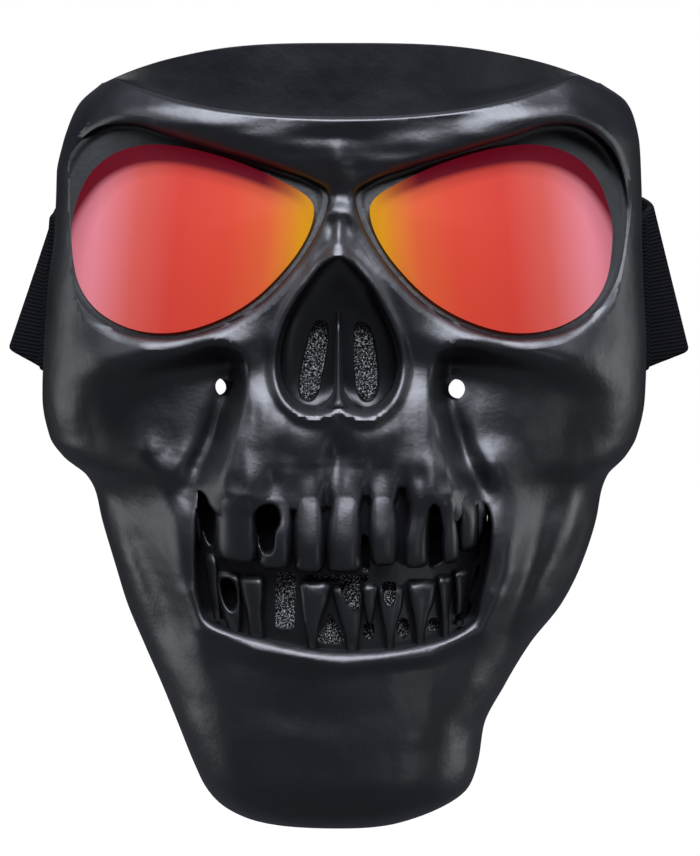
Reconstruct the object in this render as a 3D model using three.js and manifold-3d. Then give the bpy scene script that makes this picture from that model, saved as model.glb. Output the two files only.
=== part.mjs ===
import * as THREE from 'three';
import { mergeVertices } from 'three/addons/utils/BufferGeometryUtils.js';
import Module from 'manifold-3d';

const wasm = await Module();
wasm.setup();

// A skull mask in millimetres. X is to the viewer's right, Z is up and the face looks towards -Y.
// The origin is where the wearer's brow meets the bridge of the mask: the hollow lies behind it, at +Y.

// Driving sizes of the shell
const MASK_WIDTH = 192;
const MASK_HEIGHT = 244.2;
const MASK_DEPTH = 99;
const TOP_ABOVE_BRIDGE = 52.7;
const WALL = 3;

// Eyes: the lens outline is as wide and high as this, and sits on a ledge in its socket
const EYE_WIDTH = 76;
const EYE_HEIGHT = 57;
const EYE_SPREAD = 46.4;
const EYE_DROP = 7.2;
const LENS_THICKNESS = 2;
const LENS_DOME = 6;
const LEDGE_WIDTH = 3;
const LEDGE_REBATE = 1;
const SEAT_SET_BACK = 6;
const SEAT_SWEEP = 23;
const SEAT_LEAN = 0.25;

// Nose opening with two slots in its floor
const NOSE_WIDTH = 36.2;
const NOSE_HEIGHT = 46.6;
const NOSE_SHIFT = -0.9;
const NOSE_TOP_DROP = 12.6;
const NOSE_DEPTH = 15.5;
const NOSE_LEAN = -0.05;
const SLOT_WIDTH = 5.6;
const SLOT_LENGTH = 24.5;
const SLOT_SPREAD = 8;
const SLOT_LEAN = 0.13;
const SLOT_TOP_SHARE = 0.2;

// Mouth: a recess with a curved floor that carries the teeth. The outermost and
// highest edges of its windows are shares of its width and height.
const MOUTH_WIDTH = 92;
const MOUTH_HEIGHT = 57;
const MOUTH_DROP = 104;
const MOUTH_SET_BACK = 4.5;
const MOUTH_SWEEP = 17;
const TOOTH_DEPTH = 7;
const WINDOW_REACH_SHARE = 0.475;
const WINDOW_TOP_SHARE = 0.84;

// Cheeks, forehead plate and vents
const CHEEK_WIDTH = 57;
const CHEEK_HEIGHT = 62;
const CHEEK_DROP = 72;
const CHEEK_DEPTH = 13.5;
const BROW_LIP_HEIGHT = 30.3;
const LIP_RISE = 11.5;
const RIM_ROLL = 1.5;
const VENT_DIAMETER = 6;
const VENT_SPREAD = 36.5;
const VENT_DROP = 53;
const VENT_INSET = 6;

// Filters, and the strap that is sewn through a slot in each side
const FILTER_THICKNESS = 4;
const FILTER_MARGIN = 3;
const STRAP_WIDTH = 50;
const STRAP_THICKNESS = 2;
const STRAP_DROP = 29;
const STRAP_RISE = 9;
const STRAP_BULGE_LEFT = 7;
const STRAP_BULGE_RIGHT = 11;
const STRAP_FLARE_LEFT = 16;
const STRAP_FLARE_RIGHT = 12;
const STRAP_TAIL = 18;
const HEAD_LENGTH = 185;
const RIM_BAR = 6;

// Clearances
const GAP = 0.3;
const SLOT_PLAY = 1.0;

const HALF_WIDTH = MASK_WIDTH / 2;
const FAR_FORWARD = -0.8 * MASK_DEPTH;
const FAR_BACK = 1.2 * MASK_DEPTH;

// Finishes
const finish = (color, roughness, metalness) =>
  new THREE.MeshStandardMaterial({ color, roughness, metalness });
const shellFinish = finish(0x15161b, 0.4, 0);
const lensFinish = finish(0xe0403a, 0.12, 0.7);
const foamFinish = finish(0x3c3d40, 1, 0);
const strapFinish = finish(0x101014, 0.85, 0);

// Level sections of the face, top to chin. down and droop are shares of MASK_HEIGHT, left and right of half its
// width, and front, side and rear of MASK_DEPTH, with forward negative. square shapes the corner.
const SECTIONS = [
  // down, droop, left, right, front, side, rear, square
  [0.000, 0.057, 0.800, 0.860, 0.040, 0.485, 0.575, 2.3],
  [0.019, 0.060, 0.865, 0.940, -0.005, 0.485, 0.605, 2.4],
  [0.044, 0.060, 0.900, 0.970, -0.040, 0.485, 0.625, 2.5],
  [0.077, 0.057, 0.925, 0.985, -0.080, 0.475, 0.645, 2.6],
  [0.126, 0.045, 0.945, 0.990, -0.110, 0.465, 0.667, 2.6],
  [0.183, 0.022, 0.947, 0.992, -0.130, 0.445, 0.677, 2.6],
  [0.249, 0.000, 0.952, 0.992, -0.152, 0.424, 0.677, 2.5],
  [0.314, 0.000, 0.972, 0.996, -0.172, 0.384, 0.677, 2.4],
  [0.396, 0.000, 0.985, 1.005, -0.212, 0.343, 0.667, 2.3],
  [0.461, 0.000, 0.990, 1.000, -0.242, 0.323, 0.646, 2.2],
  [0.511, 0.000, 0.967, 0.974, -0.268, 0.323, 0.616, 2.1],
  [0.535, 0.000, 0.925, 0.940, -0.278, 0.323, 0.596, 2.1],
  [0.560, 0.000, 0.848, 0.880, -0.283, 0.323, 0.576, 2.1],
  [0.580, 0.000, 0.819, 0.860, -0.288, 0.323, 0.556, 2.1],
  [0.617, 0.000, 0.796, 0.842, -0.293, 0.313, 0.525, 2.1],
  [0.674, 0.000, 0.752, 0.794, -0.293, 0.293, 0.475, 2.1],
  [0.724, 0.000, 0.711, 0.728, -0.288, 0.263, 0.424, 2.1],
  [0.773, 0.000, 0.656, 0.624, -0.288, 0.232, 0.374, 2.2],
  [0.826, 0.000, 0.593, 0.536, -0.303, 0.202, 0.323, 2.4],
  [0.875, 0.000, 0.538, 0.468, -0.323, 0.162, 0.273, 2.6],
  [0.920, 0.000, 0.489, 0.448, -0.323, 0.131, 0.232, 2.7],
  [0.949, 0.000, 0.453, 0.421, -0.303, 0.111, 0.202, 2.7],
  [0.973, 0.000, 0.400, 0.340, -0.258, 0.101, 0.172, 2.6],
  [0.992, 0.000, 0.312, 0.220, -0.172, 0.101, 0.141, 2.4],
  [1.000, 0.000, 0.218, 0.130, -0.061, 0.101, 0.121, 2.2],
];
const [DOWN, DROOP, LEFT, RIGHT, FRONT, SIDE, REAR, SQUARE] = [0, 1, 2, 3, 4, 5, 6, 7];

// Outlines as shares of their own width and height, from the middle of their box
const LENS_OUTLINE = [
  [-0.50, 0.14], [-0.48, 0.22], [-0.41, 0.29], [-0.255, 0.38], [-0.09, 0.455], [0.07, 0.50],
  [0.215, 0.495], [0.34, 0.435], [0.435, 0.315], [0.49, 0.13], [0.50, -0.035], [0.47, -0.24],
  [0.40, -0.375], [0.30, -0.46], [0.175, -0.50], [0.03, -0.49], [-0.13, -0.41], [-0.275, -0.29],
  [-0.395, -0.125], [-0.47, 0.02],
];
const SOCKET_OUTLINE = [
  [-0.55, 0.26], [-0.48, 0.33], [-0.38, 0.375], [-0.215, 0.44], [-0.05, 0.505], [0.11, 0.57],
  [0.215, 0.61], [0.32, 0.615], [0.405, 0.575], [0.49, 0.475], [0.54, 0.34], [0.555, 0.175],
  [0.55, -0.02], [0.515, -0.24], [0.44, -0.39], [0.315, -0.49], [0.175, -0.53], [0.03, -0.52],
  [-0.145, -0.44], [-0.295, -0.32], [-0.415, -0.15], [-0.495, 0.0], [-0.54, 0.13],
];
const NOSE_OUTLINE = [
  [-0.02, 0.50], [-0.14, 0.43], [-0.24, 0.335], [-0.34, 0.225], [-0.415, 0.115], [-0.47, -0.015],
  [-0.50, -0.14], [-0.495, -0.27], [-0.44, -0.385], [-0.335, -0.465], [-0.21, -0.49], [-0.095, -0.47],
  [0.00, -0.435], [0.11, -0.475], [0.235, -0.50], [0.355, -0.455], [0.455, -0.355], [0.50, -0.215],
  [0.48, -0.08], [0.415, 0.06], [0.335, 0.19], [0.25, 0.305], [0.15, 0.405], [0.065, 0.475],
];
const MOUTH_OUTLINE = [
  [-0.475, 0.285], [-0.50, 0.22], [-0.505, 0.10], [-0.50, -0.06], [-0.475, -0.24], [-0.43, -0.37],
  [-0.27, -0.455], [0.00, -0.50], [0.29, -0.47], [0.43, -0.385], [0.48, -0.24], [0.50, -0.02],
  [0.505, 0.14], [0.495, 0.23], [0.46, 0.285], [0.38, 0.27], [0.27, 0.29], [0.13, 0.27], [0.00, 0.22],
  [-0.13, 0.20], [-0.27, 0.21], [-0.38, 0.22], [-0.43, 0.26],
];
const LEFT_CHEEK_OUTLINE = [
  [0.46, 0.44], [0.38, 0.49], [0.24, 0.49], [0.08, 0.47], [-0.10, 0.41], [-0.30, 0.35],
  [-0.47, 0.28], [-0.48, 0.03], [-0.37, -0.23], [-0.19, -0.42], [-0.02, -0.50], [0.12, -0.42],
  [0.20, -0.26], [0.25, -0.16], [0.31, -0.08], [0.37, 0.03], [0.42, 0.18], [0.46, 0.32],
];
const RIGHT_CHEEK_OUTLINE = [
  [-0.50, 0.42], [-0.44, 0.47], [-0.24, 0.49], [-0.01, 0.46], [0.23, 0.40], [0.48, 0.28],
  [0.48, 0.03], [0.35, -0.26], [0.16, -0.45], [-0.02, -0.50], [-0.16, -0.42], [-0.25, -0.29],
  [-0.31, -0.21], [-0.37, -0.10], [-0.42, 0.02], [-0.47, 0.16], [-0.50, 0.29],
];

// Ridges (negative height stands forward) and grooves. x is a share of half the width, down of MASK_HEIGHT measured
// from the bridge, breadth and height of MASK_DEPTH.
const BROW_RIDGE = [
  // x, down, breadth, height
  [-0.88, -0.070, 0.050, -0.015], [-0.81, -0.104, 0.055, -0.030], [-0.73, -0.127, 0.060, -0.040],
  [-0.62, -0.131, 0.060, -0.040], [-0.46, -0.119, 0.060, -0.036], [-0.29, -0.100, 0.060, -0.024],
  [-0.14, -0.082, 0.065, -0.014], [0.00, -0.074, 0.070, -0.010], [0.14, -0.078, 0.065, -0.014],
  [0.31, -0.092, 0.060, -0.024], [0.45, -0.104, 0.060, -0.036], [0.59, -0.123, 0.060, -0.040],
  [0.73, -0.131, 0.060, -0.040], [0.82, -0.111, 0.055, -0.030], [0.90, -0.074, 0.050, -0.015],
];
const NOSE_BONE = [
  [0.002, 0.004, 0.032, -0.025], [-0.008, 0.033, 0.032, -0.046], [-0.012, 0.049, 0.036, -0.042],
];
const CHEEK_BONE = [
  [0.25, 0.156, 0.060, -0.020], [0.44, 0.164, 0.060, -0.050], [0.62, 0.174, 0.070, -0.060],
  [0.78, 0.190, 0.080, -0.050], [0.92, 0.213, 0.090, -0.020],
];
const TOOTH_PILLAR = [
  [0.24, 0.172, 0.070, 0.015], [0.27, 0.230, 0.080, -0.016], [0.30, 0.287, 0.090, -0.034],
  [0.32, 0.344, 0.090, -0.050], [0.33, 0.377, 0.060, -0.030],
];
const JAW_FOLD = [
  [0.55, 0.307, 0.065, -0.025], [0.54, 0.377, 0.060, -0.035], [0.50, 0.450, 0.060, -0.035],
  [0.45, 0.532, 0.070, -0.025], [0.41, 0.614, 0.070, -0.010],
];
const JAW_GROOVE = [
  [0.70, 0.348, 0.050, 0.020], [0.64, 0.414, 0.050, 0.035], [0.58, 0.483, 0.050, 0.033],
  [0.53, 0.561, 0.060, 0.015],
];
// Single swellings and dips: x, down, spread across, spread down, height, in the same shares
const SWELLINGS = [
  [0.00, -0.139, 0.375, 0.037, -0.026],
  [0.00, -0.027, 0.094, 0.021, 0.030],
  [-0.02, 0.254, 0.042, 0.016, -0.016],
  [-0.02, 0.295, 0.033, 0.037, 0.026],
  [0.00, 0.180, 0.375, 0.053, 0.062],
  [0.00, 0.598, 0.375, 0.041, -0.020],
];
// Teeth: centre and widths are shares of MOUTH_WIDTH, bite and root of MOUTH_HEIGHT above the bottom of the mouth
const TEETH = [
  // centre, bite width, root width, bite, root, root centre
  [-0.495, 0.030, 0.030, 0.51, 0.86, -0.495],
  [-0.359, 0.145, 0.110, 0.455, 0.76, -0.350],
  [-0.232, 0.090, 0.050, 0.435, 0.80, -0.200],
  [-0.108, 0.096, 0.070, 0.415, 0.86, -0.105],
  [0.000, 0.112, 0.080, 0.415, 0.82, 0.000],
  [0.134, 0.100, 0.070, 0.450, 0.90, 0.130],
  [0.250, 0.084, 0.060, 0.440, 0.90, 0.245],
  [0.366, 0.062, 0.050, 0.460, 0.86, 0.360],
  [0.425, 0.058, 0.050, 0.500, 0.84, 0.420],
  [0.480, 0.034, 0.030, 0.500, 0.86, 0.470],
  [-0.435, 0.036, 0.030, 0.405, 0.16, -0.430],
  [-0.374, 0.084, 0.060, 0.405, 0.12, -0.370],
  [-0.300, 0.080, 0.050, 0.385, 0.05, -0.290],
  [-0.100, 0.104, 0.045, 0.350, 0.02, -0.115],
  [0.016, 0.102, 0.045, 0.360, 0.01, 0.022],
  [0.150, 0.108, 0.045, 0.360, 0.02, 0.140],
  [0.268, 0.090, 0.050, 0.370, 0.03, 0.255],
  [0.340, 0.052, 0.040, 0.380, 0.10, 0.335],
  [0.396, 0.060, 0.045, 0.405, 0.18, 0.385],
  [0.440, 0.036, 0.030, 0.420, 0.24, 0.425],
];
// Gaps cut through between the teeth, as boxes in the same shares: left, right, bottom, top
const TOOTH_GAPS = [
  [-0.475, -0.435, 0.52, 0.82],
  [-0.275, -0.205, 0.58, 0.80],
  [0.293, 0.334, 0.50, 0.69],
  [0.452, 0.470, 0.30, 0.66],
  [-0.225, -0.155, 0.12, 0.41],
  [-0.052, -0.018, 0.04, 0.19],
  [0.005, 0.058, 0.255, 0.355],
  [0.072, 0.106, 0.06, 0.17],
  [0.185, 0.222, 0.06, 0.16],
  [0.288, 0.322, 0.09, 0.17],
  [-0.130, 0.120, 0.385, 0.408],
];

const smooth = (from, to, value) => {
  const t = THREE.MathUtils.clamp((value - from) / (to - from), 0, 1);
  return t * t * (3 - 2 * t);
};

// A curve through the points that rises and falls only where they do
function monotone(xs, ys) {
  const last = xs.length - 1;
  const step = xs.slice(1).map((x, i) => x - xs[i]);
  const slope = step.map((h, i) => (ys[i + 1] - ys[i]) / h);
  const tangent = ys.map((_, i) => {
    if (i === 0) return slope[0];
    if (i === last) return slope[last - 1];
    if (slope[i - 1] * slope[i] <= 0) return 0;
    const before = 2 * step[i] + step[i - 1];
    const after = step[i] + 2 * step[i - 1];
    return (before + after) / (before / slope[i - 1] + after / slope[i]);
  });
  return (x) => {
    let i = 0;
    while (i < last - 1 && x > xs[i + 1]) i += 1;
    const t = (x - xs[i]) / step[i];
    return ys[i] * (1 + 2 * t) * (1 - t) ** 2 + tangent[i] * step[i] * t * (1 - t) ** 2
      + ys[i + 1] * t * t * (3 - 2 * t) + tangent[i + 1] * step[i] * t * t * (t - 1);
  };
}

// Sections along the middle profile, measured down its length
const profile = [0];
for (let i = 1; i < SECTIONS.length; i += 1) {
  const fall = (SECTIONS[i][DOWN] - SECTIONS[i - 1][DOWN]) * MASK_HEIGHT;
  const reach = (SECTIONS[i][FRONT] - SECTIONS[i - 1][FRONT]) * MASK_DEPTH;
  profile.push(profile[i - 1] + Math.hypot(fall, reach));
}
const PROFILE_LENGTH = profile.at(-1);
const columnAlong = SECTIONS[0].map((_, c) => monotone(profile, SECTIONS.map((row) => row[c])));
const columnDown = SECTIONS[0].map((_, c) => monotone(SECTIONS.map((row) => row[DOWN]), SECTIONS.map((row) => row[c])));

function sectionFrom(columns, place) {
  const share = columns.map((column) => column(place));
  return {
    z: TOP_ABOVE_BRIDGE - share[DOWN] * MASK_HEIGHT,
    droop: share[DROOP] * MASK_HEIGHT,
    left: share[LEFT] * HALF_WIDTH,
    right: share[RIGHT] * HALF_WIDTH,
    front: share[FRONT] * MASK_DEPTH,
    side: share[SIDE] * MASK_DEPTH,
    rear: share[REAR] * MASK_DEPTH,
    square: share[SQUARE],
  };
}
const sectionAtHeight = (z) => sectionFrom(columnDown, (TOP_ABOVE_BRIDGE - z) / MASK_HEIGHT);

// A point of a section: share runs from -1 at the left rear edge, through 0 at the middle, to 1 at the right one
const ROUND_SHARE = 0.84;
function levelPoint(section, share, inset) {
  const half = (share < 0 ? section.left : section.right) - inset;
  const reach = section.side - section.front - inset;
  const turn = Math.min(Math.abs(share) / ROUND_SHARE, 1) * Math.PI / 2;
  const past = Math.max(Math.abs(share) - ROUND_SHARE, 0) / (1 - ROUND_SHARE);
  const power = section.square;
  const radius = ((Math.sin(turn) / half) ** power + (Math.cos(turn) / reach) ** power) ** (-1 / power);
  const x = radius * Math.sin(turn);
  const y = section.side - radius * Math.cos(turn) + (section.rear - section.side) * past;
  return new THREE.Vector3(Math.sign(share) * x, y, section.z - section.droop * (x / half) ** 3);
}

// Closed outlines in the XZ plane, as Vector2 of x and z
function outline(shares, width, height, x, z, fineness = 1, mirrored = false) {
  const side = mirrored ? -1 : 1;
  const corners = shares.map(([u, v]) => new THREE.Vector3(side * (x + u * width), z + v * height, 0));
  const curve = new THREE.CatmullRomCurve3(corners, true, 'centripetal');
  return curve.getPoints(corners.length * fineness).slice(0, -1).map((p) => new THREE.Vector2(p.x, p.y));
}

// Distance inside an outline, negative outside
function depthInside(points, x, z) {
  let nearest = Infinity;
  let inside = false;
  points.forEach((b, i) => {
    const a = points.at(i - 1);
    const t = THREE.MathUtils.clamp(
      ((x - a.x) * (b.x - a.x) + (z - a.y) * (b.y - a.y)) / a.distanceToSquared(b), 0, 1);
    nearest = Math.min(nearest, Math.hypot(x - a.x - t * (b.x - a.x), z - a.y - t * (b.y - a.y)));
    if ((a.y > z) !== (b.y > z) && x < (b.x - a.x) * (z - a.y) / (b.y - a.y) + a.x) inside = !inside;
  });
  return inside ? nearest : -nearest;
}

// An outline moved inwards by a distance, outwards where it is negative
function shrink(points, distance) {
  const turning = Math.sign(THREE.ShapeUtils.area(points));
  return points.map((p, i) => {
    const along = points[(i + 1) % points.length].clone().sub(points.at(i - 1)).normalize();
    return new THREE.Vector2(p.x - along.y * distance * turning, p.y + along.x * distance * turning);
  });
}

const EYE_MIDDLE = -EYE_DROP;
const NOSE_MIDDLE = -NOSE_TOP_DROP - NOSE_HEIGHT / 2;
const lensOutline = (mirrored) =>
  outline(LENS_OUTLINE, EYE_WIDTH, EYE_HEIGHT, EYE_SPREAD, EYE_MIDDLE, 2, mirrored);
const socketOutline = (mirrored) =>
  outline(SOCKET_OUTLINE, EYE_WIDTH, EYE_HEIGHT, EYE_SPREAD, EYE_MIDDLE, 1, mirrored);
const noseOutline = outline(NOSE_OUTLINE, NOSE_WIDTH, NOSE_HEIGHT, NOSE_SHIFT, NOSE_MIDDLE);
const mouthOutline = outline(MOUTH_OUTLINE, MOUTH_WIDTH, MOUTH_HEIGHT, 0, -MOUTH_DROP);
const cheekSpread = CHEEK_WIDTH / 2 + VENT_SPREAD - VENT_INSET;
const cheekOutlines = [
  outline(LEFT_CHEEK_OUTLINE, CHEEK_WIDTH, CHEEK_HEIGHT, -cheekSpread, -CHEEK_DROP),
  outline(RIGHT_CHEEK_OUTLINE, CHEEK_WIDTH, CHEEK_HEIGHT, cheekSpread, -CHEEK_DROP),
];

// Floors of the sockets, the nose opening and the mouth: y at x, z
const EYE_OUTER = EYE_SPREAD + EYE_WIDTH / 2;
const bridgeFront = sectionAtHeight(0).front;
const seatY = (x, z) =>
  bridgeFront + SEAT_SET_BACK + SEAT_SWEEP * (Math.abs(x) / EYE_OUTER) ** 2.8 + SEAT_LEAN * z;
const socketY = (x, z) => seatY(x, z) - LEDGE_REBATE;
const noseFront = sectionAtHeight(NOSE_MIDDLE).front;
const noseY = (x, z) => noseFront + NOSE_DEPTH + NOSE_LEAN * (z - NOSE_MIDDLE);
const mouthFront = sectionAtHeight(-MOUTH_DROP).front;
const mouthY = (x) => mouthFront + MOUTH_SET_BACK + MOUTH_SWEEP * (2 * Math.abs(x) / MOUTH_WIDTH) ** 2.2;

function ridgeShift(ridge, x, z) {
  let nearest = Infinity;
  let shift = 0;
  for (let i = 1; i < ridge.length; i += 1) {
    const [a, b] = [ridge[i - 1], ridge[i]].map(([across, down, breadth, height]) => ({
      x: across * HALF_WIDTH, z: -down * MASK_HEIGHT, breadth: breadth * MASK_DEPTH, height: height * MASK_DEPTH,
    }));
    const length = (b.x - a.x) ** 2 + (b.z - a.z) ** 2;
    const t = THREE.MathUtils.clamp(((x - a.x) * (b.x - a.x) + (z - a.z) * (b.z - a.z)) / length, 0, 1);
    const away = Math.hypot(x - a.x - t * (b.x - a.x), z - a.z - t * (b.z - a.z));
    if (away < nearest) {
      nearest = away;
      const breadth = THREE.MathUtils.lerp(a.breadth, b.breadth, t);
      shift = THREE.MathUtils.lerp(a.height, b.height, t) * Math.exp(-((away / breadth) ** 2));
    }
  }
  return shift;
}

// The face's large forms, as a shift along Y
const topFront = SECTIONS[0][FRONT] * MASK_DEPTH;
function formShift(x, z, section) {
  const wide = Math.abs(x) / HALF_WIDTH;
  const lip = BROW_LIP_HEIGHT + LIP_RISE * (wide / 0.76) ** 2.4;
  const plate = (topFront - RIM_ROLL - section.front) * smooth(-0.5, 3, z - lip);
  let shift = plate * Math.max(1 - (wide / 0.78) ** 4, 0);
  shift += ridgeShift(BROW_RIDGE, x, z) + ridgeShift(NOSE_BONE, x, z);
  for (const ridge of [CHEEK_BONE, TOOTH_PILLAR, JAW_FOLD, JAW_GROOVE]) {
    shift += ridgeShift(ridge, Math.abs(x), z);
  }
  for (const [across, down, spread, fall, height] of SWELLINGS) {
    const u = (x / HALF_WIDTH - across) / spread;
    const v = (-z / MASK_HEIGHT - down) / fall;
    shift += height * MASK_DEPTH * Math.exp(-u * u - v * v);
  }
  const outer = THREE.MathUtils.clamp((wide - 0.31) / 0.6, 0, 1);
  const fall = THREE.MathUtils.clamp(1 + 1.82 * (z + CHEEK_DROP) / CHEEK_HEIGHT, 0, 1) ** 0.8;
  const depth = CHEEK_DEPTH * (0.74 * (1 - outer) ** 1.2 + 0.26 * (1 - 0.4 * outer)) * fall;
  const slope = CHEEK_DEPTH * (0.24 + 0.59 * outer + 0.59 * (1 - fall));
  for (const points of cheekOutlines) {
    shift += depth * smooth(-1.5, 1, depthInside(points, x, z) / slope);
  }
  return shift;
}

// Closed meshes from points and triangles, turned to face out
function closedGeometry(points, triangles) {
  const geometry = new THREE.BufferGeometry();
  geometry.setAttribute('position', new THREE.Float32BufferAttribute(points.flatMap((p) => p.toArray()), 3));
  const volume = triangles.reduce((sum, [a, b, c]) => sum + points[a].dot(points[b].clone().cross(points[c])), 0);
  geometry.setIndex(triangles.flatMap(([a, b, c]) => (volume < 0 ? [a, c, b] : [a, b, c])));
  return geometry;
}

function toSolid(geometry) {
  const bare = geometry.clone();
  bare.deleteAttribute('normal');
  bare.deleteAttribute('uv');
  const merged = mergeVertices(bare, 1e-4);
  return new wasm.Manifold(new wasm.Mesh({
    numProp: 3,
    vertProperties: new Float32Array(merged.attributes.position.array),
    triVerts: new Uint32Array(merged.index.array),
  }));
}

function toGeometry(solid) {
  const mesh = solid.getMesh();
  const geometry = new THREE.BufferGeometry();
  geometry.setAttribute('position', new THREE.BufferAttribute(new Float32Array(mesh.vertProperties), 3));
  geometry.setIndex(new THREE.BufferAttribute(new Uint32Array(mesh.triVerts), 1));
  return geometry;
}

// Rings of equal length joined in order, with flat ends
function loft(rings) {
  const count = rings[0].length;
  const triangles = [];
  for (let r = 1; r < rings.length; r += 1) {
    for (let k = 0; k < count; k += 1) {
      const [a, b] = [(r - 1) * count + k, (r - 1) * count + (k + 1) % count];
      triangles.push([a, b, b + count], [a, b + count, a + count]);
    }
  }
  const last = (rings.length - 1) * count;
  for (let k = 1; k < count - 1; k += 1) {
    triangles.push([0, k + 1, k], [last, last + k, last + k + 1]);
  }
  return closedGeometry(rings.flat(), triangles);
}

// A plate inside an outline, between a front and a back surface that take x, z and the share of the way to the edge
function plate(points, rings, frontY, backY) {
  const middle = points.reduce((sum, p) => sum.add(p), new THREE.Vector2()).divideScalar(points.length);
  const vertices = [];
  for (const surface of [frontY, backY]) {
    vertices.push(new THREE.Vector3(middle.x, surface(middle.x, middle.y, 0), middle.y));
    for (let r = 1; r <= rings; r += 1) {
      for (const p of points) {
        const q = middle.clone().lerp(p, r / rings);
        vertices.push(new THREE.Vector3(q.x, surface(q.x, q.y, r / rings), q.y));
      }
    }
  }
  const count = points.length;
  const back = 1 + rings * count;
  const triangles = [];
  for (let k = 0; k < count; k += 1) {
    const next = (k + 1) % count;
    triangles.push([0, 1 + k, 1 + next], [back, back + 1 + next, back + 1 + k]);
    for (let r = 1; r < rings; r += 1) {
      const [a, b] = [1 + (r - 1) * count + k, 1 + (r - 1) * count + next];
      triangles.push([a, a + count, b + count], [a, b + count, b]);
      triangles.push([back + a, back + b + count, back + a + count], [back + a, back + b, back + b + count]);
    }
    const [a, b] = [1 + (rings - 1) * count + k, 1 + (rings - 1) * count + next];
    triangles.push([a, back + a, back + b], [a, back + b, b]);
  }
  return closedGeometry(vertices, triangles);
}

// A prism through the whole face along Y
function through(points) {
  const length = FAR_BACK - FAR_FORWARD;
  const prism = new THREE.ExtrudeGeometry(new THREE.Shape(points), { depth: length, bevelEnabled: false });
  return toSolid(prism.rotateX(Math.PI / 2).translate(0, FAR_BACK, 0));
}

function box(left, right, front, back, bottom, top) {
  const block = new THREE.BoxGeometry(right - left, back - front, top - bottom);
  return toSolid(block.translate((left + right) / 2, (front + back) / 2, (bottom + top) / 2));
}

// The bare shell: a fine outer sheet and an inner one of half as many rows and columns, joined round the rim
const COLUMNS = 44;
const ROWS = 36;
function bareShell() {
  const outer = [];
  const carved = [];
  const sections = [];
  for (let r = 0; r <= ROWS; r += 1) {
    const section = sectionFrom(columnAlong, PROFILE_LENGTH * r / ROWS);
    sections.push(section);
    carved.push([]);
    for (let c = 0; c <= COLUMNS; c += 1) {
      const p = levelPoint(section, 2 * c / COLUMNS - 1, 0);
      const shift = formShift(p.x, p.z, section);
      const floors = [
        [socketOutline(false), seatY], [socketOutline(true), seatY], [noseOutline, noseY], [mouthOutline, mouthY],
      ].map(([points, floor]) => (depthInside(points, p.x, p.z) > -WALL ? floor(p.x, p.z) - p.y : shift));
      carved[r].push(Math.max(shift, ...floors));
      outer.push(new THREE.Vector3(p.x, p.y + shift, p.z));
    }
  }
  const inner = [];
  for (let r = 0; r <= ROWS; r += 2) {
    const section = sections[r];
    const [above, below] = [sections[Math.max(r - 1, 0)], sections[Math.min(r + 1, ROWS)]];
    const steep = Math.hypot(above.z - below.z, above.front - below.front);
    const lift = WALL * Math.abs(below.front - above.front) / steep * Math.sign(below.front - above.front);
    for (let c = 0; c <= COLUMNS; c += 2) {
      const p = levelPoint(section, 2 * c / COLUMNS - 1, WALL);
      let deepest = 0;
      for (let i = Math.max(r - 2, 0); i <= Math.min(r + 2, ROWS); i += 1) {
        for (let j = Math.max(c - 2, 0); j <= Math.min(c + 2, COLUMNS); j += 1) {
          deepest = Math.max(deepest, carved[i][j]);
        }
      }
      inner.push(new THREE.Vector3(p.x, p.y + deepest, r === 0 ? p.z : p.z + Math.max(lift, 0)));
    }
  }
  const wide = COLUMNS + 1;
  const narrow = COLUMNS / 2 + 1;
  const at = (r, c) => r * wide + c;
  const under = (r, c) => outer.length + (r / 2) * narrow + c / 2;
  const triangles = [];
  for (let r = 0; r < ROWS; r += 1) {
    for (let c = 0; c < COLUMNS; c += 1) {
      triangles.push([at(r, c), at(r + 1, c), at(r + 1, c + 1)], [at(r, c), at(r + 1, c + 1), at(r, c + 1)]);
    }
  }
  for (let r = 0; r < ROWS; r += 2) {
    for (let c = 0; c < COLUMNS; c += 2) {
      triangles.push([under(r, c), under(r + 2, c + 2), under(r + 2, c)]);
      triangles.push([under(r, c), under(r, c + 2), under(r + 2, c + 2)]);
    }
    triangles.push([at(r, 0), under(r, 0), at(r + 1, 0)], [at(r + 1, 0), under(r, 0), under(r + 2, 0)]);
    triangles.push([at(r + 1, 0), under(r + 2, 0), at(r + 2, 0)]);
    const e = COLUMNS;
    triangles.push([at(r, e), at(r + 1, e), under(r, e)], [at(r + 1, e), under(r + 2, e), under(r, e)]);
    triangles.push([at(r + 1, e), at(r + 2, e), under(r + 2, e)]);
  }
  for (let c = 0; c < COLUMNS; c += 2) {
    triangles.push([at(0, c), at(0, c + 1), under(0, c)], [at(0, c + 1), under(0, c + 2), under(0, c)]);
    triangles.push([at(0, c + 1), at(0, c + 2), under(0, c + 2)]);
    const e = ROWS;
    triangles.push([at(e, c), under(e, c), at(e, c + 1)], [at(e, c + 1), under(e, c), under(e, c + 2)]);
    triangles.push([at(e, c + 1), under(e, c + 2), at(e, c + 2)]);
  }
  return toSolid(closedGeometry([...outer, ...inner], triangles));
}

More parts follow.
